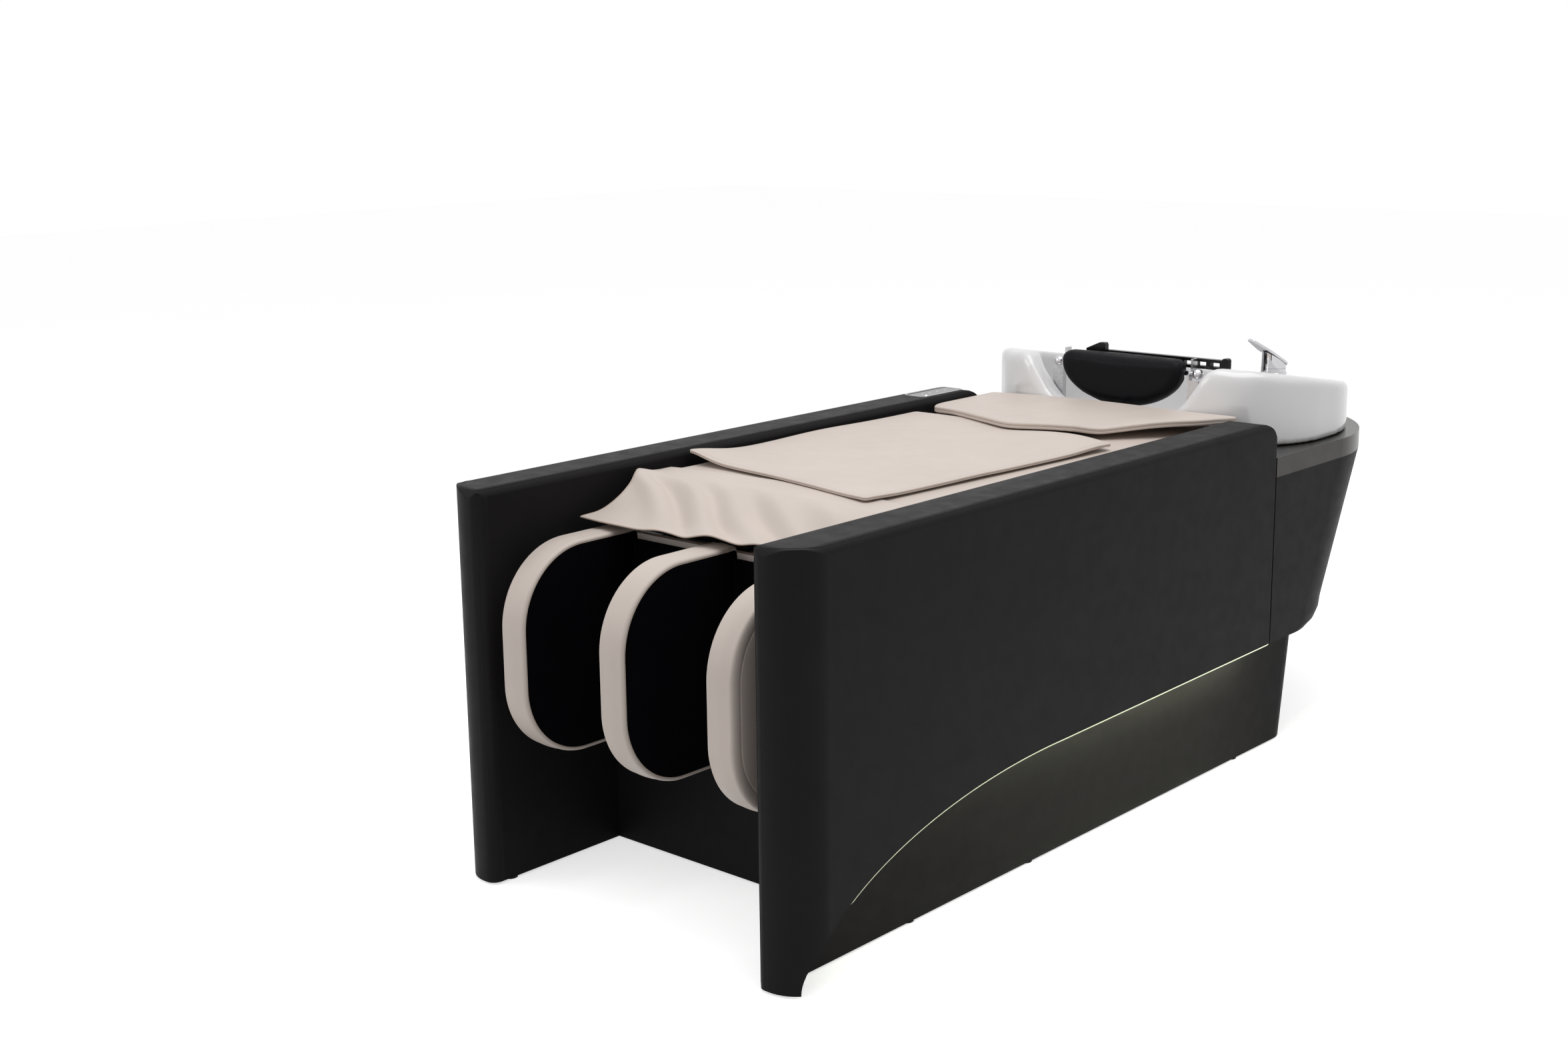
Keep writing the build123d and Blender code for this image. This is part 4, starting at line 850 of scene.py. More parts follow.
@dataclass
class Basin:
    """The glazed basin, whose neck notch is rolled over at its edges."""

    voxel: float = 5.0
    front: float = 1385.0
    wall: float = 50.0
    sill: float = 640.0
    lip_rounds: int = 16
    fade_along: float = 12.0
    fade_up: float = 10.0
    levels: tuple[int, ...] = (648, 658, 667, 682, 699, 724, 745, 765)
    moves: tuple[int, ...] = (0, 8, 12, 14, 10, 3, -3, 0)
    reach_end: float = 320.0
    reach_run: float = 120.0

    def steeper(self, across: np.ndarray, height: np.ndarray) -> np.ndarray:
        """How far the notch's sides move outward at each height, in millimetres."""
        move = np.interp(height, self.levels, self.moves)
        reach = np.clip((self.reach_end - across) / self.reach_run, 0, 1)
        return move * reach * reach * (3 - 2 * reach)

    def build(self, bed: Bed, shop: Workshop, node: bpy.types.Object) -> bpy.types.Object:
        """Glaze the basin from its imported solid.

        Args:
            bed: the bed's measures.
            shop: the workshop.
            node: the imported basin.

        Returns:
            The basin.
        """
        piece = node.copy()
        piece.data = node.data.copy()
        piece.name = piece.data.name = "glazed_basin"
        bpy.context.scene.collection.objects.link(piece)
        remesh = piece.modifiers.new("even_skin", "REMESH")
        remesh.mode = "VOXEL"
        remesh.voxel_size = self.voxel * MM
        potter = Foam()
        potter.settle(piece)
        rows = potter.smoothed(piece.data, potter.read(piece.data), 3)
        along = rows[:, 1] / MM - bed.foot / MM
        height = rows[:, 2] / MM
        near = np.clip((self.front + self.wall - along) / self.fade_along, 0, 1)
        near = near * np.clip((height - self.sill) / self.fade_up, 0, 1)
        rows = potter.smoothed(piece.data, rows, self.lip_rounds, near[:, None])
        across = np.abs(rows[:, 0]) / MM
        move = self.steeper(across, rows[:, 2] / MM) * near
        rows[:, 0] += np.sign(rows[:, 0]) * move * MM
        low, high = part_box("basin")
        rows = np.clip(rows, np.array(low), np.array(high))
        piece.data.vertices.foreach_set("co", rows.ravel())
        piece.data.polygons.foreach_set("use_smooth", [True] * len(piece.data.polygons))
        piece.data.update()
        shop.finish(piece, CERAMIC)
        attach(piece, Body.BASE.value)
        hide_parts("basin")
        LOG.info("glazed %s", piece.name)
        return piece


@dataclass
class LightLens:
    """The lit edge of the light guide, seen as a thin line along each panel's sweep."""

    across: float = 386.0
    start: float = 110.0
    end: float = 1352.0
    sweep_start: float = 20.0
    sweep_length: float = 644.0
    sweep_rise: float = 232.0
    sweep_climb: float = 11.0
    glides: float = 4.0
    radius: float = 2.0
    tail: float = 3.0
    sink: float = 0.4
    steps: int = 160

    def level(self, y: float) -> float:
        """The height of the sweeping edge at a place along the bed."""
        crest = self.sweep_start + self.sweep_length
        if y > crest:
            share = (y - crest) / (self.end + self.tail - crest)
            return self.glides + self.sweep_rise + self.sweep_climb * share
        run = (crest - y) / self.sweep_length
        return self.glides + self.sweep_rise * math.sqrt(max(0.0, 1 - run * run))

    def build(self, bed: Bed, shop: Workshop) -> None:
        """Fit both lenses.

        Args:
            bed: the bed's measures.
            shop: the workshop.
        """
        for side, name in ((1, "right"), (-1, "left")):
            path = [bed.at(side * self.across, y, self.level(y) - self.radius * self.sink)
                    for y in np.linspace(self.start, self.end, self.steps)]
            lens = shop.tube(f"light_lens_{name}", path, self.radius * MM, LIGHT_LENS)
            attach(lens, Body.BASE.value)
            LOG.info("fitted %s", lens.name)


@dataclass
class SidePanels:
    """The seams of the two padded side panels."""

    inner: float = 298.0
    outer: float = 388.0
    length: float = 1355.0
    inset: float = 7.0
    welt: float = 0.55
    front_round: float = 65.0
    inner_round: float = 18.0
    cast_from: float = 900.0
    row_gap: float = 3.0
    stitch_pitch: float = 5.0
    thread: float = 0.6

    def build(self, bed: Bed, shop: Workshop, nodes: dict[str, bpy.types.Object]) -> None:
        """Sew both panels.

        Args:
            bed: the bed's measures.
            shop: the workshop.
            nodes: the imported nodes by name.
        """
        for side, name in ((1, "right"), (-1, "left")):
            skin = Skin(nodes["side_shell_" + name])
            self.top_seam(bed, shop, skin, side, name)
            self.corner_seam(bed, shop, skin, side, name)

    def top_seam(self, bed: Bed, shop: Workshop, skin: Skin, side: int, name: str) -> None:
        """The seam round the panel's top, just inside its long edges."""
        corners = [(self.inner, self.length - 1), (self.inner, 0), (self.outer, 0),
                   (self.outer, self.length - 1)]
        loop = rounded_loop(corners, [1, self.inner_round, self.front_round, 1], 16, 120)
        loop = drawn_in(loop, self.inset)
        keep = [p for p in loop if p[1] < self.length - self.inset - 2]
        cut = next(i for i in range(len(keep)) if np.linalg.norm(keep[i] - keep[i - 1]) > 30)
        keep = keep[cut:] + keep[:cut]
        starts = [bed.at(side * x, y, self.cast_from) for x, y in keep]
        line, normals = skin.seam(starts, Vector((0, 0, -1)))
        welt = shop.tube(f"panel_seam_{name}", line, self.welt * MM, SEAM)
        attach(welt, Body.BASE.value)
        inner = drawn_in(np.array(keep), self.row_gap)
        starts = [bed.at(side * x, y, self.cast_from) for x, y in inner[2:-2]]
        line, normals = skin.seam(starts, Vector((0, 0, -1)))
        row = shop.stitches(f"panel_stitches_{name}", line, normals, self.stitch_pitch * MM, THREAD,
                            self.thread * MM)
        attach(row, Body.BASE.value)
        LOG.info("sewed the top of the %s panel", name)

    def corner_seam(self, bed: Bed, shop: Workshop, skin: Skin, side: int, name: str) -> None:
        """The upright seam at the panel's inner front corner."""
        x = self.inner + self.inset
        starts = [bed.at(side * x, -60, z) for z in np.linspace(660, 8, 90)]
        line, _ = skin.seam(starts, Vector((0, 1, 0)))
        welt = shop.tube(f"panel_corner_seam_{name}", line, self.welt * MM, SEAM)
        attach(welt, Body.BASE.value)


@dataclass
class BedTop:
    """The foam cushion, the loose mat, the pillow flap and the soft apron."""

    half: float = 297.0
    top: float = 656.0
    base: float = 607.0
    crown: float = 8.0
    front: float = 345.0
    rear: float = 1384.7
    mat_thick: float = 6.5
    flap_thick: float = 12.0
    piping: float = 0.75
    groove: float = 9.0
    stitch_sink: float = 0.75
    stitch_pitch: float = 4.5
    apron_grid: tuple[int, int] = (150, 90)
    apron_cloth: float = 1.8
    hem_radius: float = 1.3
    hem_from: int = 28

    def crown_level(self, x: float) -> float:
        """The height of the cushion's top at a place across the bed."""
        return self.top - self.crown * (x / self.half) ** 2

    def cushion(self, bed: Bed, shop: Workshop, node: bpy.types.Object) -> bpy.types.Object:
        """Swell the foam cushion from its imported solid, roller channel and all.

        Args:
            bed: the bed's measures.
            shop: the workshop.
            node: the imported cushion.

        Returns:
            The cushion.
        """
        piece = node.copy()
        piece.data = node.data.copy()
        piece.name = piece.data.name = "foam_cushion"
        bpy.context.scene.collection.objects.link(piece)
        rows = np.array([v.co for v in piece.data.vertices])
        middle = np.array(bed.at(0, (self.front + self.rear) / 2, self.base))
        rows = middle + (rows - middle) * np.array((0.988, 0.997, 0.985))
        piece.data.vertices.foreach_set("co", rows.ravel())

        def keep(points: np.ndarray) -> np.ndarray:
            """Hold the foam off the panels, the board and the mat."""
            x = np.clip(points[:, 0], -(self.half - 0.4) * MM, (self.half - 0.4) * MM)
            level = (self.top - self.crown * (x / MM / self.half) ** 2) * MM
            y = np.clip(points[:, 1], bed.foot + self.front * MM, bed.foot + self.rear * MM)
            z = np.clip(points[:, 2], self.base * MM, level)
            return np.stack((x, y, z), axis=1)

        Foam(8.0, 4.0, 5.0).fill(piece, keep)
        shop.finish(piece, CREAM)
        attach(piece, Body.BASE.value)
        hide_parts("bed_cushion")
        return piece

    def pad(self, bed: Bed, shop: Workshop, name: str, plan: PadPlan, thick: float,
            level: Callable[[float, float], float]) -> bpy.types.Object:
        """Make a thin sewn pad: two covers with a welted edge and a stitched groove inside it.

        Args:
            bed: the bed's measures.
            shop: the workshop.
            name: the piece's name.
            plan: its outline in plan.
            thick: its thickness.
            level: the height of its underside at a place in plan.

        Returns:
            The pad, with its piping and its stitches as its children.
        """
        t = thick
        profile = [(26, t), (13, t), (10.4, t - 0.1), (9, t - 0.8), (7.6, t - 0.1), (5, t), (2.6, t - 0.1),
                   (1.0, t - 0.6), (0.1, t * 0.76), (0.35, t * 0.6), (1.5, t / 2), (0.35, t * 0.4),
                   (0.1, t * 0.24), (1.0, 0.5), (2.6, 0.05), (6, 0), (26, 0)]
        inner = plan.outline(26)
        middle = inner.mean(axis=0)
        shares = [0.04, 0.12, 0.2, 0.28, 0.36, 0.44, 0.52, 0.6, 0.68, 0.76, 0.84, 0.92]
        rows: list[tuple[float, float, float]] = []
        for share in shares:
            rows += [(x, y, level(x, y) + t) for x, y in middle + (inner - middle) * share]
        for inset, rise in profile:
            rows += [(x, y, level(x, y) + rise) for x, y in plan.outline(inset)]
        for share in reversed(shares):
            rows += [(x, y, level(x, y)) for x, y in middle + (inner - middle) * share]
        around = len(inner)
        rings = len(rows) // around
        faces: list[tuple[int, ...]] = bands(rings, around)
        for start, rise in ((0, t), ((rings - 1) * around, 0.0)):
            rows.append((middle[0], middle[1], level(*middle) + rise))
            last = len(rows) - 1
            for c in range(around):
                face = (start + c, last, start + (c + 1) % around)
                faces.append(face if rise else tuple(reversed(face)))
        piece = shop.mesh(name, bed.points(rows), faces, CREAM)
        edge = plan.outline(0.9)
        piping = shop.tube(name + "_piping", bed.points([(x, y, level(x, y) + t / 2) for x, y in edge]),
                           self.piping * MM, PIPING, closed=True)
        seam = plan.outline(self.groove)
        path = bed.points([(x, y, level(x, y) + t - self.stitch_sink) for x, y in seam])
        row = shop.stitches(name + "_stitches", path + path[:1], [Vector((0, 0, 1))] * (len(path) + 1),
                            self.stitch_pitch * MM, CREAM_THREAD)
        for child in (piping, row):
            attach(child, Body.BASE.value)
        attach(piece, Body.BASE.value)
        return piece

    def mat_level(self, x: float, y: float) -> float:
        """The height of the mat's underside: over the apron and cushion, with a lifted tip and a hump."""
        rise = 4.0
        rise += 17 * swell(x, -300, 75) * swell(y, 470, 90)
        rise += 13 * swell(x - 0.35 * (y - 1000), 130, 95) * swell(y, 985, 62)
        rise += 3.5 * swell(x, -290, 60) * swell(y, 820, 120)
        rise += 2.0 * swell(y - 0.2 * x, 620, 60) * swell(x, 60, 160)
        rise += 2.5 * swell(x, 190, 40) * swell(y, 395, 50)
        return self.crown_level(x) + rise

    def mat(self, bed: Bed, shop: Workshop) -> bpy.types.Object:
        """The loose stitched mat that lies askew."""
        plan = PadPlan(((-289, 476), (191, 386), (232, 1030), (-286, 1118)), (7, 9, 6, 9), 6, 60)
        piece = self.pad(bed, shop, "stitched_mat", plan, self.mat_thick, self.mat_level)
        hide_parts("top_mat")
        return piece

    def flap_level(self, x: float, y: float) -> float:
        """The height of the flap's underside: on the mat, over its hump, then down to the cushion."""
        on_mat = self.mat_level(x, y) + self.mat_thick + 0.8
        past_mat = self.crown_level(x) + 4.5
        edge = 1118 - (x + 286) * 0.15
        share = ease(y, edge - 10, edge + 55)
        level = on_mat * (1 - share) + past_mat * share
        level += 17 * swell(y - 0.6 * (x - 230), 1200, 150) * swell(x, 262, 110)
        level += 3 * swell(y, 1000, 60) * swell(x, -60, 130)
        return level

    def flap(self, bed: Bed, shop: Workshop) -> bpy.types.Object:
        """The pillow flap with its round front."""
        plan = PadPlan(((-289, 1382), (-289, 1156), (85, 975), (282, 1250), (288, 1382)),
                       (8, 95, 130, 140, 8), 18, 30)
        piece = self.pad(bed, shop, "pillow_flap_pad", plan, self.flap_thick, self.flap_level)
        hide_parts("pillow_flap")
        return piece

    def apron_fold(self, u: float, v: float) -> float:
        """How far the apron stands off its plain fall, in folds that run down towards the near side."""
        ridges = [(-1.02, 0.95, 1.0, 0.11), (-0.66, 1.0, 1.15, 0.10), (-0.30, 0.95, 0.9, 0.10),
                  (0.10, 0.8, 0.7, 0.10), (0.48, 0.55, 0.5, 0.09), (-0.84, 1.0, -0.75, 0.07),
                  (-0.48, 1.0, -0.6, 0.07), (-0.08, 0.9, -0.45, 0.07)]
        rise = 0.0
        for start, drift, height, width in ridges:
            middle = start + drift * (v - 0.3)
            waver = 0.02 * math.sin(9 * v + 5 * start)
            rise += height * swell(u, middle + waver, width)
        rise += 0.15 * math.sin(13 * u - 9 * v) * math.sin(5 * v + 2.0) * ease(v, 0.2, 0.5)
        return 9.0 * rise * ease(v, 0.2, 0.5) * (1 - 0.5 * ease(v, 0.75, 1.0))

    def apron_point(self, u: float, v: float) -> tuple[float, float, float]:
        """A point of the apron's upper side.

        Args:
            u: from -1 at the far side to 1 at the near side.
            v: from 0 under the mat to 1 at the hem.

        Returns:
            The point in millimetres.
        """
        hem_y = 203 + 21 * (u + 1) - 6 * math.sin(2.2 * (u + 1))
        lip = 350.0
        start = 428.0
        share = max(0.0, (v - 0.3) / 0.7)
        y = start + (lip - start) * min(1.0, v / 0.3) if v < 0.3 else lip + (hem_y - lip) * share
        fall = 58.0 * (0.55 * share + 0.45 * ease(share, 0.0, 0.85) ** 1.2)
        far = 286 - 22 * math.sin(math.pi * min(1.0, share * 1.02)) - 10 * share
        x = 286 * u if u > 0 else u * far
        flatten = self.crown * (x / self.half) ** 2 * ease(share, 0.0, 0.4)
        z = self.crown_level(x) + 3.0 - fall + flatten
        corner = swell(u, -0.97, 0.12) * swell(v, 0.3, 0.10)
        z += self.apron_fold(u, v) + 8 * corner
        z += 2.5 * math.sin(5.0 * u + 1.0) * ease(share, 0.7, 1.0)
        return x, y, max(z, 592.5 if y < 262 else 0)

    def apron(self, bed: Bed, shop: Workshop) -> bpy.types.Object:
        """The soft apron with its folds, from under the mat down to the calf unit."""
        columns, rows = self.apron_grid
        grid = [self.apron_point(-1 + 2 * c / (columns - 1), r / (rows - 1))
                for r in range(rows) for c in range(columns)]
        upper = np.array(grid).reshape(rows, columns, 3)
        along, across = np.gradient(upper, axis=0), np.gradient(upper, axis=1)
        normal = np.cross(across, -along)
        normal /= np.linalg.norm(normal, axis=2, keepdims=True)
        normal[normal[:, :, 2] < 0] *= -1
        lower = upper - normal * self.apron_cloth
        points = bed.points(np.concatenate((upper.reshape(-1, 3), lower.reshape(-1, 3))))
        sheet = bands(rows, columns, closed=False)
        size = rows * columns
        faces = [tuple(reversed(face)) for face in sheet] + [tuple(i + size for i in face) for face in sheet]
        rim = [r * columns for r in range(rows)]
        rim += [(rows - 1) * columns + c for c in range(1, columns)]
        rim += [r * columns + columns - 1 for r in range(rows - 2, -1, -1)]
        rim += list(range(columns - 2, 0, -1))
        faces += [(b, a, a + size, b + size) for a, b in zip(rim, rim[1:] + rim[:1])]
        piece = shop.mesh("leg_apron_cloth", points, faces, CREAM)
        half = self.apron_cloth / 2
        hem = [bed.at(*(upper[rows - 1, c] - normal[rows - 1, c] * half)) for c in range(columns)]
        far = [bed.at(*(upper[r, 0] - normal[r, 0] * half)) for r in range(self.hem_from, rows - 1)]
        welt = shop.tube("leg_apron_hem", far + hem, self.hem_radius * MM, PIPING)
        for cloth in (piece, welt):
            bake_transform(cloth)
        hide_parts("leg_apron")
        return piece

    def build(self, bed: Bed, shop: Workshop, nodes: dict[str, bpy.types.Object]) -> None:
        """Make and lay everything soft on the bed.

        Args:
            bed: the bed's measures.
            shop: the workshop.
            nodes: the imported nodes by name.
        """
        for piece in (self.cushion(bed, shop, nodes["bed_cushion"]), self.mat(bed, shop),
                      self.flap(bed, shop), self.apron(bed, shop)):
            LOG.info("laid %s", piece.name)


@dataclass
class CalfUnit:
    """The three upholstered fins and the black linings of the two calf channels."""

    width: float = 54.0
    pitch: float = 229.0
    front: float = 3.0
    back: float = 262.0
    bottom: float = 228.0
    top: float = 587.0
    top_round: float = 135.0
    bottom_round: float = 130.0
    edge: float = 11.0
    lining_inset: float = 8.0
    recess: float = 5.0
    back_drop: float = 22.0
    welt: float = 0.55

    def profile(self, inset: float) -> np.ndarray:
        """The fin's side outline, drawn in at its front, top and bottom."""
        corners = [(self.front + inset, self.bottom + inset), (self.back, self.bottom + inset),
                   (self.back, self.top - inset), (self.front + inset, self.top - inset)]
        radii = [max(2.0, self.bottom_round - inset), 4.0, 4.0, max(2.0, self.top_round - inset)]
        return rounded_loop(corners, radii, 22, 14)

    def band(self, side: int, lined: bool) -> list[tuple[float, float]]:
        """The fin's cross-section from the middle of one side out to the middle of its front.

        Args:
            side: which side of the fin, -1 or 1.
            lined: whether that side carries a black lining.

        Returns:
            Pairs of inset and place across the fin.
        """
        half = self.width / 2
        if lined:
            rings = [(60.0, half - self.recess), (self.lining_inset + 0.6, half - self.recess),
                     (self.lining_inset, half - 1.4), (self.lining_inset - 1.4, half - 0.3)]
        else:
            rings = [(90.0, half - 1.2), (60.0, half - 0.6), (34.0, half - 0.3), (24.0, half - 0.3),
                     (20.8, half - 0.5), (20.0, half - 1.0), (19.2, half - 0.5), (16.0, half - 0.2),
                     (12.5, half)]
        for step in range(1, 7):
            angle = math.pi / 2 * step / 6
            start = min(self.edge, rings[-1][0])
            rings.append((1.2 + (start - 1.2) * (1 - math.sin(angle)),
                          half - self.edge * (1 - math.cos(angle))))
        rings += [(0.5, half * 0.36), (0.1, half * 0.16)]
        return [(inset, side * x) for inset, x in rings]

    def fin(self, bed: Bed, shop: Workshop, place: int, name: str) -> bpy.types.Object:
        """One upholstered fin: a crowned cream band with its two side panels."""
        left = self.band(-1, place > -1)
        right = self.band(1, place < 1)
        rings = left + [(0.0, 0.0)] + right[::-1]
        rows: list[tuple[float, float, float]] = []
        for inset, x in rings:
            rows += [(place * self.pitch + x, y, z) for y, z in self.profile(inset)]
        around = len(self.profile(0))
        faces: list[tuple[int, ...]] = bands(len(rings), around)
        faces += [tuple(reversed(range(around))), tuple(range((len(rings) - 1) * around, len(rows)))]
        piece = shop.mesh(f"calf_fins_{name}", bed.points(rows), faces, CREAM)
        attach(piece, Body.LEGREST.value)
        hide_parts("calf_fin_" + name)
        for side, lined in ((-1, place > -1), (1, place < 1)):
            inset = self.lining_inset - 0.4 if lined else 20.0
            x = place * self.pitch + side * (self.width / 2 - (0.5 if lined else 1.1))
            path = bed.points([(x, y, z) for y, z in self.profile(inset) if y < self.back - 6])
            loop = path[30:] + path[:30]
            cut = max(range(len(loop)), key=lambda i: (loop[i] - loop[i - 1]).length)
            welt = shop.tube(f"calf_fins_{name}_welt_{'right' if side > 0 else 'left'}",
                             loop[cut:] + loop[:cut], self.welt * MM, PIPING)
            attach(welt, Body.LEGREST.value)
        return piece

    def side_pad(self, face_x: float, side: int) -> tuple[list[tuple[float, ...]], list[tuple[int, ...]]]:
        """One black side pad, gently filled by the air bag under it."""
        insets = [(8.4, -4.6), (8.4, -0.9), (9.2, -0.1), (12, 0.3), (18, 0.7), (28, 1.1), (42, 1.4),
                  (60, 1.6), (80, 1.7)]
        rows: list[tuple[float, ...]] = []
        for inset, rise in insets:
            rows += [(face_x + side * rise, y, z) for y, z in self.profile(inset)]
        around = len(self.profile(0))
        faces: list[tuple[int, ...]] = bands(len(insets), around)
        faces.append(tuple(range((len(insets) - 1) * around, len(rows))))
        return rows, faces

    def back_pad(self, low: float, high: float) -> tuple[list[tuple[float, ...]], list[tuple[int, ...]]]:
        """The black pad at the back of a channel."""
        rows: list[tuple[float, ...]] = []
        insets = [(0.0, 0.0), (0.0, -6.0), (1.5, -9.5), (5.0, -11.3), (12.0, -12.0), (30.0, -12.4),
                  (60.0, -12.6)]
        z_low, z_high = self.bottom + 12, self.top - self.back_drop
        for inset, rise in insets:
            corners = [(low + inset, z_low + inset), (high - inset, z_low + inset),
                       (high - inset, z_high - inset), (low + inset, z_high - inset)]
            loop = rounded_loop(corners, [4.0] * 4, 6, 14)
            rows += [(x, self.back + rise, z) for x, z in loop]
        around = len(rows) // len(insets)
        faces: list[tuple[int, ...]] = bands(len(insets), around)
        faces.append(tuple(range((len(insets) - 1) * around, len(rows))))
        return rows, faces

    def lining(self, bed: Bed, shop: Workshop, side: int, name: str) -> bpy.types.Object:
        """The lining of one channel, from two side pads and a back pad."""
        inner, outer = side * self.width / 2, side * (self.pitch - self.width / 2)
        rows: list[tuple[float, ...]] = []
        faces: list[tuple[int, ...]] = []
        parts = [self.side_pad(inner, side), self.side_pad(outer, -side),
                 self.back_pad(min(inner, outer), max(inner, outer))]
        for points, loops in parts:
            base = len(rows)
            rows += points
            faces += [tuple(base + i for i in loop) for loop in loops]
        piece = shop.mesh(f"calf_channel_lining_{name}", bed.points(rows), faces, BLACK_KNIT)
        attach(piece, Body.LEGREST.value)
        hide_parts("calf_lining_" + name)
        return piece

    def build(self, bed: Bed, shop: Workshop) -> None:
        """Upholster the calf unit.

        Args:
            bed: the bed's measures.
            shop: the workshop.
        """
        for place, name in ((-1, "left"), (0, "middle"), (1, "right")):
            LOG.info("covered %s", self.fin(bed, shop, place, name).name)
        for side, name in ((-1, "left"), (1, "right")):
            LOG.info("lined %s", self.lining(bed, shop, side, name).name)


@dataclass
class NeckRest:
    """The soft black half-moon over the basin's front wall."""

    swell_by: float = 2.0
    voxel: float = 4.5
    pressure: float = 4.0
    start_share: Point = (0.985, 0.93, 0.97)

    def build(self, shop: Workshop, node: bpy.types.Object) -> None:
        """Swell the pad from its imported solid.

        Args:
            shop: the workshop.
            node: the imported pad.
        """
        piece = node.copy()
        piece.data = node.data.copy()
        piece.name = piece.data.name = "neck_cushion"
        bpy.context.scene.collection.objects.link(piece)
        low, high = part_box("neck_pad")
        middle = np.array((low + high) / 2)
        rows = np.array([v.co for v in piece.data.vertices])
        rows = middle + (rows - middle) * np.array(self.start_share)
        piece.data.vertices.foreach_set("co", rows.ravel())

        def keep(points: np.ndarray) -> np.ndarray:
            """Hold the pad inside its packed box."""
            return np.clip(points, np.array(low), np.array(high))

        Foam(self.voxel, self.pressure, self.swell_by).fill(piece, keep)
        shop.finish(piece, PAD_SKIN)
        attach(piece, Body.NECK.value)
        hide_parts("neck_pad")
        LOG.info("filled %s", piece.name)


@dataclass
class ControlPanel:
    """The small lamp and the touch keys under the control panel's glass."""

    key_radius: float = 5.5
    keys: int = 4
    pitch: float = 25.0
    ring_radius: float = 0.35
    lamp_across: float = 15.0
    lamp_along: float = -44.0

    def build(self, shop: Workshop) -> None:
        """Set rings for the keys and the lamp on the glass.

        Args:
            shop: the workshop.
        """
        low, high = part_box("control_glass")
        x, y = (low.x + high.x) / 2, (low.y + high.y) / 2
        for number in range(self.keys):
            middle = Vector((x, y + (number - (self.keys - 1) / 2) * self.pitch * MM, high.z))
            ring = [middle + Vector((math.cos(a), math.sin(a), 0)) * self.key_radius * MM
                    for a in np.linspace(0, math.tau, 33)[:-1]]
            key = shop.tube(f"touch_key_{number}", ring, self.ring_radius * MM, ALUMINIUM, closed=True)
            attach(key, Body.BASE.value)
        spot = Vector((x + self.lamp_across * MM, y + self.lamp_along * MM, high.z))
        rows, faces = [], []
        for ring, (radius, rise) in enumerate(((2.2, 0.0), (2.0, 0.5), (1.2, 0.9))):
            rows += [spot + Vector((math.cos(a) * radius, math.sin(a) * radius, rise)) * MM
                     for a in np.linspace(0, math.tau, 17)[:-1]]
        faces = bands(3, 16) + [tuple(range(32, 48))]
        lamp = shop.mesh("panel_lamp_lens", rows, faces, LAMP)
        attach(lamp, Body.BASE.value)
        LOG.info("fitted %d touch keys and a lamp", self.keys)


@dataclass
class Camera:
    """The photograph's camera, measured from the foot end on the floor."""

    place: Point = (2.1762, -2.0026, 1.3215)
    left_of_bed: float = 42.11
    down: float = 12.61
    roll: float = -0.75
    focal_pixels: float = 3011.9
    image_pixels: float = 2352.0
    sensor: float = 36.0
    farthest: float = 100.0

    def build(self, foot: float) -> bpy.types.Object:
        """Place the camera.

        Args:
            foot: the foot end's place along the bed.

        Returns:
            The camera, made the scene's own.
        """
        yaw, pitch, roll = (math.radians(a) for a in (self.left_of_bed, self.down, self.roll))
        ahead = Vector((-math.sin(yaw) * math.cos(pitch), math.cos(yaw) * math.cos(pitch), -math.sin(pitch)))
        level = Vector((math.cos(yaw), math.sin(yaw), 0.0))
        above = level.cross(ahead)
        right = level * math.cos(roll) + above * math.sin(roll)
        up = above * math.cos(roll) - level * math.sin(roll)
        data = bpy.data.cameras.new("photo_camera")
        data.sensor_width = self.sensor
        data.lens = self.focal_pixels / self.image_pixels * self.sensor
        data.clip_end = self.farthest
        camera = bpy.data.objects.new("photo_camera", data)
        bpy.context.scene.collection.objects.link(camera)
        turn = Matrix((right, up, -ahead)).transposed().to_4x4()
        camera.matrix_world = Matrix.Translation(Vector(self.place) + Vector((0, foot, 0))) @ turn
        bpy.context.scene.camera = camera
        return camera


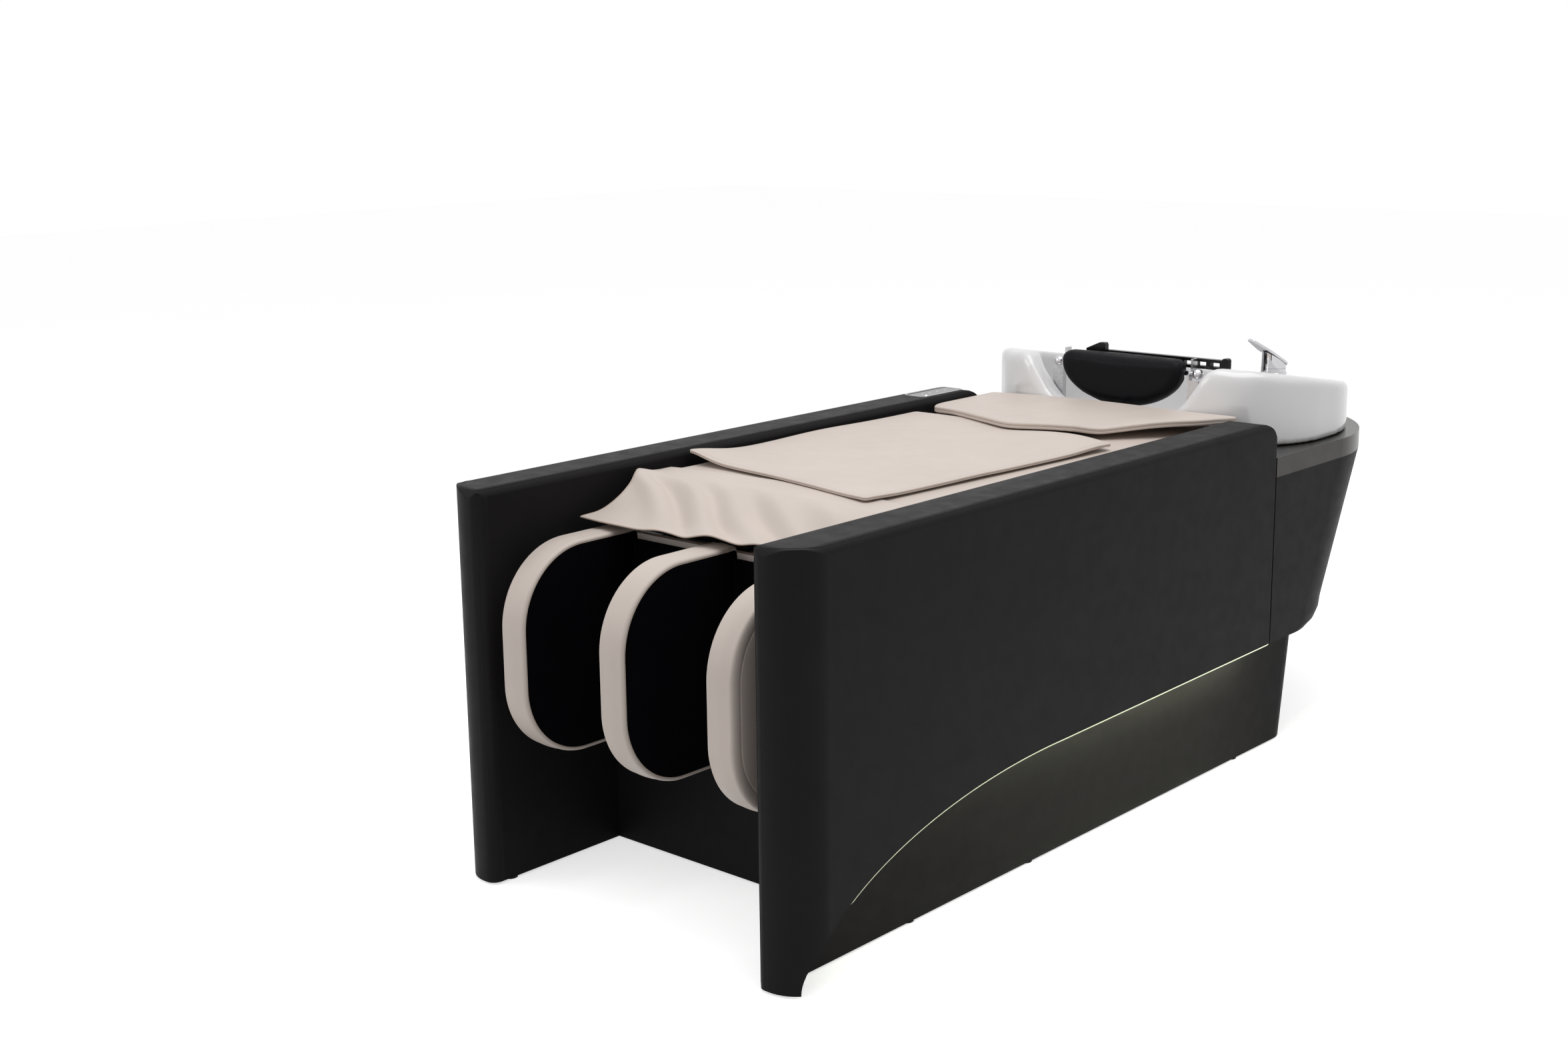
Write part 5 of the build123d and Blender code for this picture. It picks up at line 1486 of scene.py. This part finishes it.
@dataclass
class Studio:
    """A plain pale floor under soft light from above and both sides."""

    floor_size: float = 30.0
    floor_colour: Colour = (0.82, 0.82, 0.82)
    floor_glow: float = 0.64
    sky: float = 0.42
    lamps: tuple[tuple[Point, Point, float, float], ...] = (
        ((0.6, -0.4, 3.4), (0.0, 0.0, 0.4), 3.2, 67.0),
        ((-2.6, -3.4, 2.2), (0.0, -0.4, 0.4), 2.2, 29.0),
        ((4.0, 0.8, 1.6), (0.0, 0.3, 0.3), 2.4, 1.5),
    )

    def floor(self) -> None:
        """Lay the floor, which looks white to the camera and in reflections."""
        data = bpy.data.meshes.new("studio_floor")
        half = self.floor_size / 2
        data.from_pydata([(-half, -half, 0), (half, -half, 0), (half, half, 0), (-half, half, 0)], [],
                         [(0, 1, 2, 3)])
        floor = bpy.data.objects.new("studio_floor", data)
        bpy.context.scene.collection.objects.link(floor)
        shader = Shader("studio_floor")
        shader.tint(shader.noise(2.0), self.floor_colour, 0.005)
        shader.set(Roughness=0.9, Specular_IOR_Level=0.0, Emission_Color=(1, 1, 1, 1))
        path = shader.node("ShaderNodeLightPath")
        seen = shader.node("ShaderNodeMath", {
            0: path.outputs["Is Camera Ray"], 1: path.outputs["Is Glossy Ray"],
        }, operation="MAXIMUM").outputs[0]
        seen = shader.node("ShaderNodeMath", {0: seen, 1: path.outputs["Is Transmission Ray"]},
                           operation="MAXIMUM").outputs[0]
        glow = shader.node("ShaderNodeMath", {0: seen, 1: self.floor_glow}, operation="MULTIPLY").outputs[0]
        shader.feed("Emission Strength", glow)
        data.materials.append(shader.material)
        floor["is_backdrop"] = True

    def world(self) -> None:
        """Set a pale sky that is white to the camera and in reflections."""
        world = bpy.data.worlds.new("studio_sky")
        bpy.context.scene.world = world
        world.use_nodes = True
        tree = world.node_tree
        path = tree.nodes.new("ShaderNodeLightPath")
        seen = path.outputs["Is Camera Ray"]
        for name in ("Is Glossy Ray", "Is Transmission Ray"):
            both = tree.nodes.new("ShaderNodeMath")
            both.operation = "MAXIMUM"
            tree.links.new(seen, both.inputs[0])
            tree.links.new(path.outputs[name], both.inputs[1])
            seen = both.outputs[0]
        strength = tree.nodes.new("ShaderNodeMapRange")
        strength.inputs["To Min"].default_value = self.sky
        strength.inputs["To Max"].default_value = 1.0
        tree.links.new(seen, strength.inputs["Value"])
        sky = tree.nodes["Background"]
        sky.inputs["Color"].default_value = (1, 1, 1, 1)
        tree.links.new(strength.outputs["Result"], sky.inputs["Strength"])

    def lights(self) -> None:
        """Hang the soft lamps."""
        for number, (place, aim, size, power) in enumerate(self.lamps):
            data = bpy.data.lights.new(f"soft_lamp_{number}", "AREA")
            data.shape = "DISK"
            data.size = size
            data.energy = power
            lamp = bpy.data.objects.new(data.name, data)
            bpy.context.scene.collection.objects.link(lamp)
            lamp.location = place
            lamp.rotation_euler = (Vector(aim) - Vector(place)).to_track_quat("-Z", "Y").to_euler()

    def build(self) -> None:
        """Set up floor, sky and lamps, and the plain view of their colours."""
        self.floor()
        self.world()
        self.lights()
        bpy.context.scene.view_settings.view_transform = "Standard"


def corners(limits: Limits) -> list[list[float]]:
    """A box as plain lists of numbers."""
    return [list(limits[0]), list(limits[1])]


def main() -> None:
    """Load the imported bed, dress it piece by piece, and set the studio."""
    logging.basicConfig(level=logging.INFO, format="%(name)s: %(message)s")
    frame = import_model()
    cad_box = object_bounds()
    foot = cad_box[0].y
    bed = Bed(foot)
    shop = Workshop()
    Camera().build(foot)
    nodes = frame["nodes"]
    shop.dress_nodes(nodes)
    Basin().build(bed, shop, nodes["basin"])
    LightLens().build(bed, shop)
    SidePanels().build(bed, shop, nodes)
    BedTop().build(bed, shop, nodes)
    CalfUnit().build(bed, shop)
    NeckRest().build(shop, nodes["neck_pad"])
    ControlPanel().build(shop)
    Studio().build()
    sizes = {"cad": corners(cad_box), "visual": corners(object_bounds())}
    LOG.info("sizes %s", sizes)


if __name__ == "__main__":
    main()
